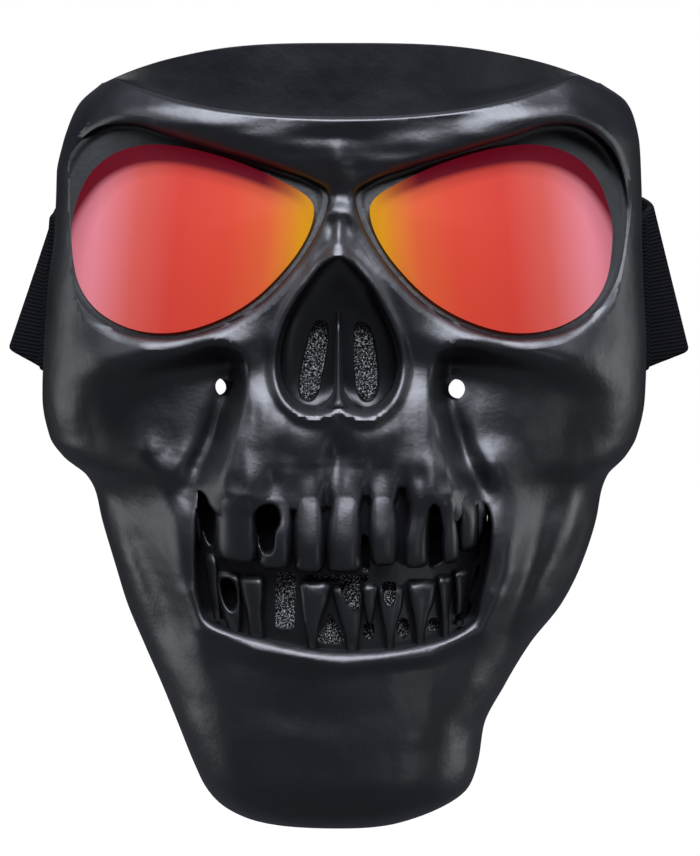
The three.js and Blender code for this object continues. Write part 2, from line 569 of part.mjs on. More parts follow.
// One tooth, from its biting end to its root, half sunk in the floor of the mouth
const TOOTH_SWELL = [
  // along, width, depth
  [0.00, 0.70, 0.45], [0.10, 0.96, 0.85], [0.32, 1.00, 1.00], [0.65, 0.90, 0.85], [1.00, 1.00, 0.35],
];
const TOOTH_SIDES = 4;
function tooth([centre, biteWidth, rootWidth, bite, root, rootCentre]) {
  const bottom = -MOUTH_DROP - MOUTH_HEIGHT / 2;
  const rings = TOOTH_SWELL.map(([along, widen, deepen]) => {
    const half = THREE.MathUtils.lerp(biteWidth, rootWidth, along) * MOUTH_WIDTH * widen / 2;
    const x = THREE.MathUtils.lerp(centre, rootCentre, along) * MOUTH_WIDTH;
    const z = bottom + THREE.MathUtils.lerp(bite, root, along) * MOUTH_HEIGHT;
    const ring = [];
    for (let k = 0; k <= TOOTH_SIDES; k += 1) {
      const turn = Math.PI * k / TOOTH_SIDES;
      const px = x + half * Math.cos(turn);
      ring.push(new THREE.Vector3(px, mouthY(px) - TOOTH_DEPTH * deepen * Math.sin(turn) ** 0.6, z));
    }
    for (const px of [x - half, x + half]) {
      ring.push(new THREE.Vector3(px, mouthY(px) + WALL / 2, z));
    }
    return ring;
  });
  return toSolid(loft(rings));
}

// Foam pads follow the floor they lie behind: rings across X between two surfaces
function pad(left, right, bottom, top, floorY, front, back, steps, grow) {
  const rings = [];
  for (let k = 0; k <= steps; k += 1) {
    const x = THREE.MathUtils.lerp(left - grow, right + grow, k / steps);
    const [low, high] = [bottom - grow, top + grow];
    rings.push([
      new THREE.Vector3(x, floorY(x, low) + front - grow, low), new THREE.Vector3(x, floorY(x, low) + back, low),
      new THREE.Vector3(x, floorY(x, high) + back, high), new THREE.Vector3(x, floorY(x, high) + front - grow, high),
    ]);
  }
  return loft(rings);
}
const slotTop = NOSE_MIDDLE + SLOT_LENGTH * SLOT_TOP_SHARE;
const slotBottom = slotTop - SLOT_LENGTH;
function nosePad(grow, back) {
  const reach = SLOT_SPREAD + SLOT_WIDTH / 2 + FILTER_MARGIN;
  return pad(NOSE_SHIFT - reach, NOSE_SHIFT + reach, slotBottom - FILTER_MARGIN, slotTop + FILTER_MARGIN,
    noseY, WALL + GAP, back, 2, grow);
}
function mouthPad(grow, back) {
  const bottom = -MOUTH_DROP - MOUTH_HEIGHT / 2;
  const reach = MOUTH_WIDTH * WINDOW_REACH_SHARE + FILTER_MARGIN / 2;
  const top = bottom + MOUTH_HEIGHT * WINDOW_TOP_SHARE + FILTER_MARGIN;
  return pad(-reach, reach, bottom, top, mouthY, WALL + GAP, back, 14, grow);
}

function skullShell() {
  let shell = bareShell();
  for (const mirrored of [false, true]) {
    const seat = shrink(lensOutline(mirrored), -GAP);
    shell = shell.subtract(toSolid(plate(socketOutline(mirrored), 3, () => FAR_FORWARD, socketY)));
    shell = shell.subtract(toSolid(plate(seat, 4, () => FAR_FORWARD, seatY)));
    shell = shell.subtract(through(shrink(lensOutline(mirrored), LEDGE_WIDTH)));
  }
  shell = shell.subtract(toSolid(plate(noseOutline, 3, () => FAR_FORWARD, noseY)));
  shell = shell.subtract(toSolid(plate(mouthOutline, 5, () => FAR_FORWARD, mouthY)));
  for (const row of TEETH) {
    shell = shell.add(tooth(row));
  }
  shell = shell.subtract(toSolid(mouthPad(GAP, MASK_DEPTH)));
  shell = shell.subtract(toSolid(nosePad(GAP, MASK_DEPTH)));
  const bottom = -MOUTH_DROP - MOUTH_HEIGHT / 2;
  for (const [left, right, low, high] of TOOTH_GAPS) {
    shell = shell.subtract(box(left * MOUTH_WIDTH, right * MOUTH_WIDTH, FAR_FORWARD, MASK_DEPTH,
      bottom + low * MOUTH_HEIGHT, bottom + high * MOUTH_HEIGHT));
  }
  for (const side of [-1, 1]) {
    const slot = new THREE.Path().absellipse(NOSE_SHIFT + side * SLOT_SPREAD, (slotTop + slotBottom) / 2,
      SLOT_WIDTH / 2, SLOT_LENGTH / 2, 0, 2 * Math.PI, false, side * SLOT_LEAN);
    shell = shell.subtract(through(slot.getPoints(16).slice(0, -1)));
    const vent = new THREE.Path().absellipse(side * VENT_SPREAD, -VENT_DROP,
      VENT_DIAMETER / 2, VENT_DIAMETER / 2, 0, 2 * Math.PI);
    shell = shell.subtract(through(vent.getPoints(12).slice(0, -1)));
    shell = shell.subtract(strapSlot(side));
  }
  return toGeometry(shell);
}

// A lens is a shallow dome of even thickness that lies on its ledge
function lens(mirrored) {
  const dome = (edge) => LENS_DOME * (1 - edge * edge);
  const back = (x, z, edge) => seatY(x, z) - GAP - dome(edge);
  return plate(lensOutline(mirrored), 4, (x, z, edge) => back(x, z, edge) - LENS_THICKNESS, back);
}

// The strap: each edge of the band runs in from its sewn tail, round the bar behind the slot, out past the shell and
// round the back of the head
const strapMiddle = -STRAP_DROP;
const strapRim = sectionAtHeight(strapMiddle).rear;
const slotBack = strapRim - RIM_BAR;
const slotMiddle = slotBack - STRAP_THICKNESS / 2 - SLOT_PLAY;
const wallAt = (side, z) => {
  const section = sectionAtHeight(z);
  return side < 0 ? section.left : section.right;
};
function strapSlot(side) {
  const wall = wallAt(side, strapMiddle);
  const reach = STRAP_WIDTH / 2 + SLOT_PLAY;
  const ends = [side * (wall - 4 * WALL), side * (wall + 4 * WALL)];
  return box(Math.min(...ends), Math.max(...ends), slotMiddle - STRAP_THICKNESS / 2 - SLOT_PLAY, slotBack,
    strapMiddle - reach, strapMiddle + reach);
}
function strapEdge(side, edge) {
  const bulge = side < 0 ? STRAP_BULGE_LEFT : STRAP_BULGE_RIGHT;
  const flare = side < 0 ? STRAP_FLARE_LEFT : STRAP_FLARE_RIGHT;
  const anchorZ = strapMiddle + edge * STRAP_WIDTH / 2;
  const clear = STRAP_THICKNESS / 2 + SLOT_PLAY;
  const out = wallAt(side, anchorZ) + clear;
  const inside = wallAt(side, anchorZ) - WALL - clear;
  const widest = wallAt(side, strapMiddle) + bulge - edge * flare / 2;
  const widestY = strapRim + 0.13 * HEAD_LENGTH;
  const step = widestY - strapRim;
  const upright = Math.sqrt(1 - (flare / STRAP_WIDTH) ** 2);
  const middle = (inside + out) / 2;
  const sewn = STRAP_THICKNESS + GAP * 2;
  const leave = (t) => THREE.MathUtils.lerp(out, widest, t);
  const points = [
    [leave(0.62) - sewn, strapRim + STRAP_TAIL * 0.8, 0.62], [leave(0.34) - sewn, strapRim + STRAP_TAIL * 0.42, 0.34],
    [inside + 0.5, strapRim + 1, 0], [inside, slotBack + 1, 0], [inside + 0.8, slotMiddle + 0.5, 0],
    [middle, slotMiddle, 0], [out - 0.8, slotMiddle + 0.5, 0], [out, slotBack + 1, 0], [out + 0.2, strapRim + 1, 0],
    [leave(0.34), strapRim + step * 0.34, 0.34], [leave(0.68), strapRim + step * 0.62, 0.68],
  ].map(([x, y, t]) => {
    const height = THREE.MathUtils.lerp(1, upright, t);
    return new THREE.Vector3(side * x, y, strapMiddle + t * STRAP_RISE * 0.3 + edge * height * STRAP_WIDTH / 2);
  });
  const turns = 7;
  for (let k = 0; k <= turns; k += 1) {
    const turn = k / turns * Math.PI / 2;
    const level = wallAt(side, strapMiddle) + bulge;
    const x = (level - edge * flare / 2 * Math.cos(turn)) * Math.cos(turn) ** 0.85;
    const y = widestY + (HEAD_LENGTH - widestY) * Math.sin(turn) ** 0.95;
    const height = THREE.MathUtils.lerp(upright, 1, k / turns);
    const rise = STRAP_RISE * THREE.MathUtils.lerp(0.3, 1, k / turns);
    points.push(new THREE.Vector3(side * x, y, strapMiddle + rise + edge * height * STRAP_WIDTH / 2));
  }
  return points;
}
const STRAP_STEPS = 84;
function headStrap() {
  const [upper, lower] = [1, -1].map((edge) => {
    const left = strapEdge(-1, edge);
    const right = strapEdge(1, edge).slice(0, -1).reverse();
    return new THREE.CatmullRomCurve3([...left, ...right], false, 'centripetal');
  });
  const rings = [];
  for (let k = 0; k <= STRAP_STEPS; k += 1) {
    const ring = [upper, lower].map((curve) => {
      const p = curve.getPoint(k / STRAP_STEPS);
      const along = curve.getTangent(k / STRAP_STEPS);
      const half = new THREE.Vector3(along.y, -along.x, 0).normalize().multiplyScalar(STRAP_THICKNESS / 2);
      return [p.clone().add(half), p.clone().sub(half)];
    });
    rings.push([ring[0][0], ring[0][1], ring[1][1], ring[1][0]]);
  }
  return loft(rings);
}

const mask = new THREE.Group();
function addPiece(name, geometry, material) {
  const mesh = new THREE.Mesh(geometry, material);
  mesh.name = name;
  mask.add(mesh);
}
addPiece('skull_shell', skullShell(), shellFinish);
addPiece('lens_left', lens(true), lensFinish);
addPiece('lens_right', lens(false), lensFinish);
addPiece('nose_filter', nosePad(0, WALL + GAP + FILTER_THICKNESS), foamFinish);
addPiece('mouth_filter', mouthPad(0, WALL + GAP + FILTER_THICKNESS), foamFinish);
addPiece('head_strap', headStrap(), strapFinish);

export default mask;
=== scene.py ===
# %% [markdown]
# A moulded skull mask with mirror lenses. The solid model of the mask is loaded first as a fixed frame. It
# says where every piece sits and how big it is. Each piece is then modelled again with its real surface, and
# the plain solid that it stands for is hidden.

# %% Load the frame
import math

import bpy
import numpy as np
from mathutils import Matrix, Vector, noise
from mathutils.bvhtree import BVHTree


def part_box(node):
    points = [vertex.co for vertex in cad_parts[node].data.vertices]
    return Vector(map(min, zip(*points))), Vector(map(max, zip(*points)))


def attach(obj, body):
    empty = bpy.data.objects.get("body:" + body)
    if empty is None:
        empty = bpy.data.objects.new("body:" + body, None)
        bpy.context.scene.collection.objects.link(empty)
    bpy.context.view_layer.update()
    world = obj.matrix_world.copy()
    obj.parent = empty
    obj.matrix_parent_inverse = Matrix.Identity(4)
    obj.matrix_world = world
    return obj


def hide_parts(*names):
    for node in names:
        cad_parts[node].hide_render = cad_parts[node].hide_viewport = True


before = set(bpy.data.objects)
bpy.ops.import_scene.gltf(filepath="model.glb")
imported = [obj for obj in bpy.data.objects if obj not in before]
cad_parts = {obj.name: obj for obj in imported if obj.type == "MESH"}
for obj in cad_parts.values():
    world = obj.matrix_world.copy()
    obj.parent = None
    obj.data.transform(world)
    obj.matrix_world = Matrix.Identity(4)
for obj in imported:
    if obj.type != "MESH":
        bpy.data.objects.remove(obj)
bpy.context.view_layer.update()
print("nodes", sorted(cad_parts))

# %% Sizes of the mask
MM = 0.001
MASK_WIDTH = 192.0
MASK_HEIGHT = 244.2
MASK_DEPTH = 99.0
TOP_ABOVE_BRIDGE = 52.7
WALL = 3.0
HALF_WIDTH = MASK_WIDTH / 2
shell_low, shell_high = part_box("skull_shell")
print("shell height in the frame, mm:", round((shell_high[2] - shell_low[2]) / MM, 1))

# %% [markdown]
# The face is one smooth surface before anything is carved in it. A table gives its level sections from the
# top rim down to the chin, as shares of the mask's height, half width and depth, and each section is a
# rounded front that runs straight back at the sides. A lofted surface in code keeps the outline exact, which
# sculpting by eye wouldn't.

# %% Sections of the face
SECTIONS = np.array([
    # down, droop, left, right, front, side, rear, square
    (0.000, 0.057, 0.800, 0.860, 0.040, 0.485, 0.575, 2.3),
    (0.019, 0.060, 0.865, 0.940, -0.005, 0.485, 0.605, 2.4),
    (0.044, 0.060, 0.900, 0.970, -0.040, 0.485, 0.625, 2.5),
    (0.077, 0.057, 0.925, 0.985, -0.080, 0.475, 0.645, 2.6),
    (0.126, 0.045, 0.945, 0.990, -0.110, 0.465, 0.667, 2.6),
    (0.183, 0.022, 0.947, 0.992, -0.130, 0.445, 0.677, 2.6),
    (0.249, 0.000, 0.952, 0.992, -0.152, 0.424, 0.677, 2.5),
    (0.314, 0.000, 0.972, 0.996, -0.172, 0.384, 0.677, 2.4),
    (0.396, 0.000, 0.985, 1.005, -0.212, 0.343, 0.667, 2.3),
    (0.461, 0.000, 0.990, 1.000, -0.242, 0.323, 0.646, 2.2),
    (0.511, 0.000, 0.967, 0.974, -0.268, 0.323, 0.616, 2.1),
    (0.535, 0.000, 0.925, 0.940, -0.278, 0.323, 0.596, 2.1),
    (0.560, 0.000, 0.848, 0.880, -0.283, 0.323, 0.576, 2.1),
    (0.580, 0.000, 0.819, 0.860, -0.288, 0.323, 0.556, 2.1),
    (0.617, 0.000, 0.796, 0.842, -0.293, 0.313, 0.525, 2.1),
    (0.674, 0.000, 0.752, 0.794, -0.293, 0.293, 0.475, 2.1),
    (0.724, 0.000, 0.711, 0.728, -0.288, 0.263, 0.424, 2.1),
    (0.773, 0.000, 0.656, 0.624, -0.288, 0.232, 0.374, 2.2),
    (0.826, 0.000, 0.593, 0.536, -0.303, 0.202, 0.323, 2.4),
    (0.875, 0.000, 0.538, 0.468, -0.323, 0.162, 0.273, 2.6),
    (0.920, 0.000, 0.489, 0.448, -0.323, 0.131, 0.232, 2.7),
    (0.949, 0.000, 0.453, 0.421, -0.303, 0.111, 0.202, 2.7),
    (0.973, 0.000, 0.400, 0.340, -0.258, 0.101, 0.172, 2.6),
    (0.992, 0.000, 0.312, 0.220, -0.172, 0.101, 0.141, 2.4),
    (1.000, 0.000, 0.218, 0.130, -0.061, 0.101, 0.121, 2.2),
])
SECTION_SIZES = np.array([
    MASK_HEIGHT, MASK_HEIGHT, HALF_WIDTH, HALF_WIDTH, MASK_DEPTH, MASK_DEPTH, MASK_DEPTH, 1.0,
])


def monotone(xs, ys, at):
    """A smooth curve through points that rises and falls only where they do."""
    xs, ys = np.asarray(xs, float), np.asarray(ys, float)
    step = np.diff(xs)
    slope = np.diff(ys) / step
    tangent = np.zeros(len(xs))
    tangent[0], tangent[-1] = slope[0], slope[-1]
    for i in range(1, len(xs) - 1):
        if slope[i - 1] * slope[i] > 0:
            before, after = 2 * step[i] + step[i - 1], step[i] + 2 * step[i - 1]
            tangent[i] = (before + after) / (before / slope[i - 1] + after / slope[i])
    i = np.clip(np.searchsorted(xs, at) - 1, 0, len(step) - 1)
    t = (at - xs[i]) / step[i]
    near = ys[i] * (1 + 2 * t) * (1 - t) ** 2 + tangent[i] * step[i] * t * (1 - t) ** 2
    far = ys[i + 1] * t * t * (3 - 2 * t) + tangent[i + 1] * step[i] * t * t * (t - 1)
    return near + far


section_mm = SECTIONS * SECTION_SIZES
profile = np.concatenate([[0], np.cumsum(np.hypot(np.diff(section_mm[:, 0]), np.diff(section_mm[:, 4])))])
PROFILE_LENGTH = profile[-1]
print("middle profile, mm:", round(PROFILE_LENGTH, 1))

# %% The smooth face
ROUND_SHARE = 0.84


def face_grid(distances, shares, inset=0.0, lift=0.0):
    """Points of the smooth face: rows down the middle profile, columns from the left rear edge to the right."""
    columns = [monotone(profile, section_mm[:, c], distances)[:, None] for c in range(8)]
    down, droop, left, right, front, side, rear, square = columns
    share = np.asarray(shares)[None, :]
    half = np.where(share < 0, left, right) - inset
    reach = side - front - inset
    turn = np.minimum(np.abs(share) / ROUND_SHARE, 1) * math.pi / 2
    past = np.maximum(np.abs(share) - ROUND_SHARE, 0) / (1 - ROUND_SHARE)
    radius = ((np.sin(turn) / half) ** square
              + (np.maximum(np.cos(turn), 1e-9) / reach) ** square) ** (-1 / square)
    x = radius * np.sin(turn)
    y = side - radius * np.cos(turn) + (rear - side) * past
    z = TOP_ABOVE_BRIDGE - down - droop * (x / half) ** 3 + lift
    return np.sign(share) * x, y, z


def smooth(start, end, value):
    t = np.clip((value - start) / (end - start), 0, 1)
    return t * t * (3 - 2 * t)


# %% [markdown]
# The eye sockets, the nose opening, the mouth and the cheek hollows have drawn outlines. An outline is a
# short list of points with a smooth closed curve through them, and the distance to it says how deep inside a
# point lies. Ridges and grooves are short lines with a breadth and a height, and swellings and dips are
# single soft spots.

# %% Outlines, ridges and spots
def closed_curve(points, fine=8):
    """Points along a smooth closed curve through the given ones."""
    corner = np.array(points, float)
    count = len(corner)
    found = []
    for i in range(count):
        a, b, c, d = (corner[(i + k) % count] for k in (-1, 0, 1, 2))
        for k in range(fine):
            t = k / fine
            bend = (2 * a - 5 * b + 4 * c - d) * t * t + (3 * b - a - 3 * c + d) * t ** 3
            found.append(0.5 * (2 * b + (c - a) * t + bend))
    return np.array(found)


def inside(points, x, z):
    """How far each place lies inside a closed outline, negative outside."""
    depth = np.full(x.shape, -99.0)
    low, high = points.min(0) - 16, points.max(0) + 16
    near = (x > low[0]) & (x < high[0]) & (z > low[1]) & (z < high[1])
    px, pz = x[near], z[near]
    best = np.full(px.shape, 1e9)
    within = np.zeros(px.shape, bool)
    for a, b in zip(points, np.roll(points, -1, 0)):
        run = b - a
        t = np.clip(((px - a[0]) * run[0] + (pz - a[1]) * run[1]) / (run @ run + 1e-12), 0, 1)
        best = np.minimum(best, (px - a[0] - t * run[0]) ** 2 + (pz - a[1] - t * run[1]) ** 2)
        if abs(run[1]) > 1e-12:
            crosses = ((a[1] > pz) != (b[1] > pz)) & (px < run[0] * (pz - a[1]) / run[1] + a[0])
            within ^= crosses
    depth[near] = np.where(within, np.sqrt(best), -np.sqrt(best))
    return depth


def ridge(x, z, line):
    """Rows of x, z, breadth and height: a rounded ridge along the line."""
    best = np.full(x.shape, 1e9)
    breadth, height = np.ones(x.shape), np.zeros(x.shape)
    for a, b in zip(line[:-1], line[1:]):
        run_x, run_z = b[0] - a[0], b[1] - a[1]
        t = np.clip(((x - a[0]) * run_x + (z - a[1]) * run_z) / (run_x ** 2 + run_z ** 2), 0, 1)
        away = (x - a[0] - t * run_x) ** 2 + (z - a[1] - t * run_z) ** 2
        closer = away < best
        best = np.where(closer, away, best)
        breadth = np.where(closer, a[2] + (b[2] - a[2]) * t, breadth)
        height = np.where(closer, a[3] + (b[3] - a[3]) * t, height)
    return height * np.exp(-best / breadth ** 2)


def spot(x, z, middle_x, middle_z, across, tall, height, lean=0.0):
    u = (x - middle_x - lean * (z - middle_z)) / across
    v = (z - middle_z) / tall
    return height * np.exp(-u * u - v * v)


def mirrored(points):
    return [(-point[0], *point[1:]) for point in points]


# %% Outlines of the features, in millimetres from the bridge
LENS = [
    (8.6, 1.0), (9.9, 5.3), (15.4, 9.2), (27.1, 14.7), (39.5, 18.8), (51.9, 21.3), (62.9, 21.2), (72.4, 17.7),
    (79.5, 10.8), (83.7, 0.3), (84.4, -9.1), (82.4, -20.7), (77.2, -28.5), (69.2, -33.4), (59.7, -35.6),
    (48.8, -34.9), (36.4, -30.6), (25.6, -23.8), (16.3, -14.3), (10.8, -6.0),
]
SOCKET = [
    (4.5, 7.5), (10.1, 11.6), (17.8, 14.3), (30.1, 18.1), (42.5, 21.6), (55.0, 25.3), (62.8, 27.7),
    (70.7, 27.9),
    (77.2, 25.7), (83.7, 20.0), (87.5, 12.5), (89.2, 3.0), (88.8, -8.0), (86.0, -20.5), (80.0, -29.5),
    (70.5, -35.2), (59.7, -37.3), (48.8, -36.8), (35.6, -32.3), (24.0, -25.2), (14.8, -15.5), (9.0, -7.0),
    (5.4, 0.5),
]
NOSE = [
    (-1.5, -12.6), (-6.0, -15.8), (-9.6, -20.4), (-13.2, -25.4), (-16.0, -30.6), (-18.0, -36.5),
    (-19.0, -42.5),
    (-18.8, -48.5), (-16.8, -53.8), (-13.0, -57.6), (-8.6, -58.8), (-4.4, -57.8), (-0.8, -56.2), (3.0, -58.0),
    (7.6, -59.2), (12.0, -57.2), (15.6, -52.4), (17.2, -46.0), (16.4, -39.6), (14.2, -33.2), (11.2, -27.0),
    (8.2, -21.6), (4.6, -17.0), (1.4, -13.8),
]
CHEEK_LEFT = [
    (-32.6, -44.5), (-37.5, -41.6), (-45.5, -41.4), (-54.5, -43.0), (-64.5, -46.6), (-76.0, -50.0),
    (-86.0, -54.5),
    (-86.5, -70.0), (-80.0, -86.0), (-70.0, -98.0), (-60.0, -103.0), (-52.0, -98.0), (-47.5, -88.0),
    (-44.5, -82.0),
    (-41.5, -77.0), (-38.0, -70.0), (-35.0, -61.0), (-32.8, -52.0),
]
CHEEK_RIGHT = [
    (30.6, -46.0), (34.0, -42.6), (45.5, -41.8), (58.5, -43.2), (72.0, -47.4), (86.5, -54.5), (86.5, -70.0),
    (79.0, -88.0), (68.0, -100.0), (58.0, -103.0), (50.0, -98.0), (45.0, -90.0), (41.5, -85.0), (38.0, -78.0),
    (35.2, -71.0), (32.4, -62.0), (30.4, -54.0),
]
MOUTH = [
    (-43.0, -87.5), (-44.8, -91.0), (-45.2, -98.0), (-45.4, -107.0), (-44.4, -117.5), (-40.4, -124.8),
    (-25.2, -129.0), (0.9, -132.4), (27.1, -130.2), (39.8, -125.2), (42.8, -117.0), (45.4, -105.0),
    (46.2, -96.0),
    (45.4, -90.5), (43.0, -88.0), (38.5, -90.5), (35.0, -93.0), (32.5, -93.0), (30.2, -89.0),
    (28.4, -87.0), (26.6, -89.0),
    (23.5, -93.0), (20.6, -88.0), (18.6, -82.5), (16.6, -87.0), (12.5, -93.0), (9.4, -88.5), (7.4, -85.0),
    (5.4, -90.0),
    (2.0, -93.5), (-4.6, -88.5), (-10.0, -93.0), (-15.2, -89.0), (-21.0, -93.0), (-26.0, -90.0),
    (-36.0, -92.0), (-40.5, -89.0),
]
LENS_CURVES = [closed_curve(mirrored(LENS)), closed_curve(LENS)]
SOCKET_CURVES = [closed_curve(mirrored(SOCKET)), closed_curve(SOCKET)]
NOSE_CURVE = closed_curve(NOSE)
CHEEK_CURVES = [closed_curve(CHEEK_LEFT), closed_curve(CHEEK_RIGHT)]
MOUTH_CURVE = closed_curve(MOUTH)


def seat_y(x, z):
    """The surface that a lens lies on."""
    return -7.9 + 23 * (np.abs(x) / 84.4) ** 2.8 + 0.25 * z


def nose_y(x, z):
    return -3.8 - 0.05 * (z + 35.9)


def mouth_y(x):
    return -24.5 + 17 * (np.abs(x) / 46) ** 2.2


def plate_y(x):
    """The sunken plate of the forehead goes straight down from the top rim."""
    _, _, left, right, front, side, _, square = section_mm[0]
    half = np.where(np.asarray(x) < 0, left, right)
    return side - (side - front) * np.clip(1 - (np.abs(x) / half) ** square, 0, 1) ** (1 / square) + 0.5


def lip_line(x):
    """Height of the brow's upper edge, where the sunken plate of the forehead begins."""
    return 30.3 + 11.5 * (np.abs(x) / 73) ** 2.4


# %% [markdown]
# Brow, nose bones, cheekbones, the pillars beside the nose, the tooth roots, the folds of the jaw and the
# chin are all shifts of the smooth face to the front or the back. Their sum gives the whole relief in one
# pass, so every form blends into its neighbour as it does in a moulding.

# %% Large forms
BROW = [
    (-84, 17, 5, -1.5), (-78, 25.5, 5.5, -3), (-70, 31, 6, -4), (-60, 32, 6, -4), (-44, 29, 6, -3.6),
    (-28, 24.5, 6, -2.0),
    (-13, 20, 6, -1.4), (0, 18, 6, -1.0), (13, 19, 6, -1.0), (30, 22.5, 6, -1.6), (43, 25.5, 6, -3.0),
    (57, 30, 6, -4),
    (70, 32, 6, -4), (79, 27, 5.5, -3), (86, 18, 5, -1.5),
]
NOSE_BONE = [(0.2, -1, 3.2, -1.2), (-0.8, -6, 3.2, -2.6), (-1.2, -11, 3.6, -3.0)]
NASION = [
    (-7, -1, 1.8, -0.8), (-5, 1.5, 1.8, -1.2), (-1.2, 2.6, 1.8, -1.3), (3, 1.5, 1.8, -1.2),
    (5.4, -1, 1.8, -0.8),
]
CHEEKBONE = [(24, -38, 6, -2), (42, -40, 6, -5), (60, -42.5, 7, -6), (75, -46.5, 8, -4.2), (88, -52, 9, -1.4)]
PILLARS = [
    [(-24, -42, 7, 1.5), (-26, -56, 8, -0.8), (-29, -70, 10, -2.6), (-31, -84, 10, -5.6), (-32, -92, 7, -3)],
    [(23, -42, 7, 1.5), (25, -56, 8, -0.8), (27.5, -70, 9, -2.6), (30, -84, 9, -5.6), (31, -92, 7, -3)],
]
JAW_BANDS = [
    [(-60, -74, 7, -2.5), (-51, -92, 5.5, -3.0), (-49, -110, 5, -2.6), (-44, -130, 7, -1.6),
     (-38, -150, 7, -0.6)],
    [(50, -76, 6, -2.5), (52, -92, 5.5, -3.0), (51, -110, 5, -2.8), (46, -130, 7, -2.0), (41, -150, 7, -1)],
]
JAW_GROOVES = [
    [(-37, -58, 4, 1.5), (-40.5, -68, 4, 3.4), (-44, -78, 4, 3.4), (-46.5, -86, 4, 1)],
    [(32.5, -58, 3.5, 2), (34, -66, 4.0, 4.2), (37.5, -76, 3.8, 4.2), (41.5, -82.6, 3.2, 3.2),
     (45, -88, 3, 1)],
    [(-72, -86, 4, 1.6), (-64, -102, 5, 3.0), (-57, -118, 5, 2.8), (-52, -136, 5, 1.0)],
    [(66, -84, 5, 1.5), (61, -100, 5, 2.6), (56, -114, 4, 3.0), (50.5, -130, 4, 3.0), (48, -140, 5, 1.0)],
    [(79, -90, 3, 1.6), (74, -104, 3, 2.0), (68, -116, 4, 1.0)],
]
SPOTS = [
    # middle x, middle z, across, tall, height, lean
    (0, 34, 46, 9, -4.2, 0), (30, 36, 15, 6, -1.0, 0), (-64, 42, 18, 8, 2.0, 0), (66, 42, 18, 8, 2.0, 0),
    (-1.2, 18, 3.2, 6, -1.2, 0), (-8.0, 13.5, 4, 4, 1.0, 0), (5.8, 13.5, 4, 4, 1.0, 0),
    (-0.8, 7.0, 7, 4, 2.4, 0), (-3.3, -3.1, 1.6, 3.4, 1.1, 0), (1.3, -3.1, 1.6, 3.4, 1.1, 0),
    (-1.5, -62, 4, 4, -1.6, 0), (-1.5, -72, 4.4, 9, 3.0, 0),
    (-10.3, -78.0, 3.4, 4.4, 1.2, 0), (-20.7, -80.2, 3.0, 4.4, 1.2, 0), (11.7, -77.4, 3.4, 4.6, 1.2, 0.1),
    (-4.4, -88, 1.6, 5.0, 2.4, 0), (7.4, -87, 1.5, 5.0, 2.4, 0), (18.6, -86, 1.8, 6.0, 2.8, 0),
    (23.9, -78.4, 2.2, 3.4, 0.9, 0), (32.2, -80.6, 2.4, 3.6, 1.2, 0), (-32.7, -81.0, 3.4, 3.6, 0.9, 0),
    (0, -44, 36, 13, 5.6, 0), (0, -140, 40, 12, -3.0, 0),
    (-49, -75, 5, 8, -2.2, 0.5), (45, -75, 5, 7, -2.6, -0.4),
]
ROOTS = [
    (-31.3, -87), (-20.5, -89), (-10.0, -87), (1.0, -87.5), (11.7, -86), (23.5, -87), (31.9, -89),
    (38.6, -89),
]
LOWER_LIP = [
    (-47, -116, 3, -1.2), (-43, -126, 3, -2.0), (-27, -132, 3, -2.4), (0, -135.4, 3, -2.6),
    (27, -133.2, 3, -2.4),
    (43, -127, 3, -2.0), (48, -117, 3, -1.2),
]


def large_forms(x, z):
    """Shift along Y of every form but the carved openings."""
    wide = np.abs(x)
    shift = ridge(wide, z, CHEEKBONE)
    for line in [BROW, NOSE_BONE, NASION, LOWER_LIP, *PILLARS, *JAW_BANDS, *JAW_GROOVES]:
        shift = shift + ridge(x, z, line)
    for row in SPOTS:
        shift = shift + spot(x, z, *row)
    for root_x, root_z in ROOTS:
        shift = shift + spot(x, z, root_x, root_z, 4.0, 7.0, -0.4)
    rim = inside(NOSE_CURVE, x, z)
    shift = shift - 2.6 * np.exp(-((rim + 1.9) / 1.9) ** 2) * smooth(-5, -13, z)
    shift = shift - 1.4 * np.exp(-((rim + 7) / 6.5) ** 2) * smooth(-10, -22, z)
    for curve in CHEEK_CURVES:
        outer = np.clip((wide - 30) / 58, 0, 1)
        fall = np.clip((z + 110) / 36, 0, 1) ** 0.8
        depth = (8 * (1 - outer) ** 1.2 + 3.2 * (1 - outer * 0.4)) * fall
        slope = 3.2 + 8 * outer + 8 * (1 - fall)
        shift = shift + depth * smooth(-1.3, 1, inside(curve, x, z) / slope)
    return shift


# %% [markdown]
# The moulding isn't machine smooth. Soft lumps lie all over it, fine wrinkles run along the brow, and upright
# streaks run down the bone over the teeth. Three bands of noise with different stretch give these, each kept
# to its own area.

# %% Lumps, wrinkles and streaks
def noise_field(x, y, z, size_x, size_z, seed):
    flat = np.empty(x.size)
    for i, (a, b, c) in enumerate(zip(x.ravel() / size_x, y.ravel() / size_x, z.ravel() / size_z)):
        flat[i] = noise.noise(Vector((a + seed, b, c - seed)))
    return flat.reshape(x.shape)


def fine_forms(x, y, z):
    plate = smooth(-0.5, 3, z - lip_line(x)) * (np.abs(x) < 80)
    brow = smooth(9, 16, z) * (1 - plate)
    gum = smooth(-50, -60, z) * smooth(-90, -80, z) * smooth(48, 38, np.abs(x))
    lumps = 0.50 * noise_field(x, y, z, 17, 17, 3.7) + 0.26 * noise_field(x, y, z, 8, 8, 9.1)
    wrinkles = 0.42 * noise_field(x, y, z, 21, 3.2, 5.3)
    streaks = 0.8 * noise_field(x, y, z, 4.6, 19, 1.9)
    return lumps * (1 - 0.85 * plate) + wrinkles * brow + streaks * gum


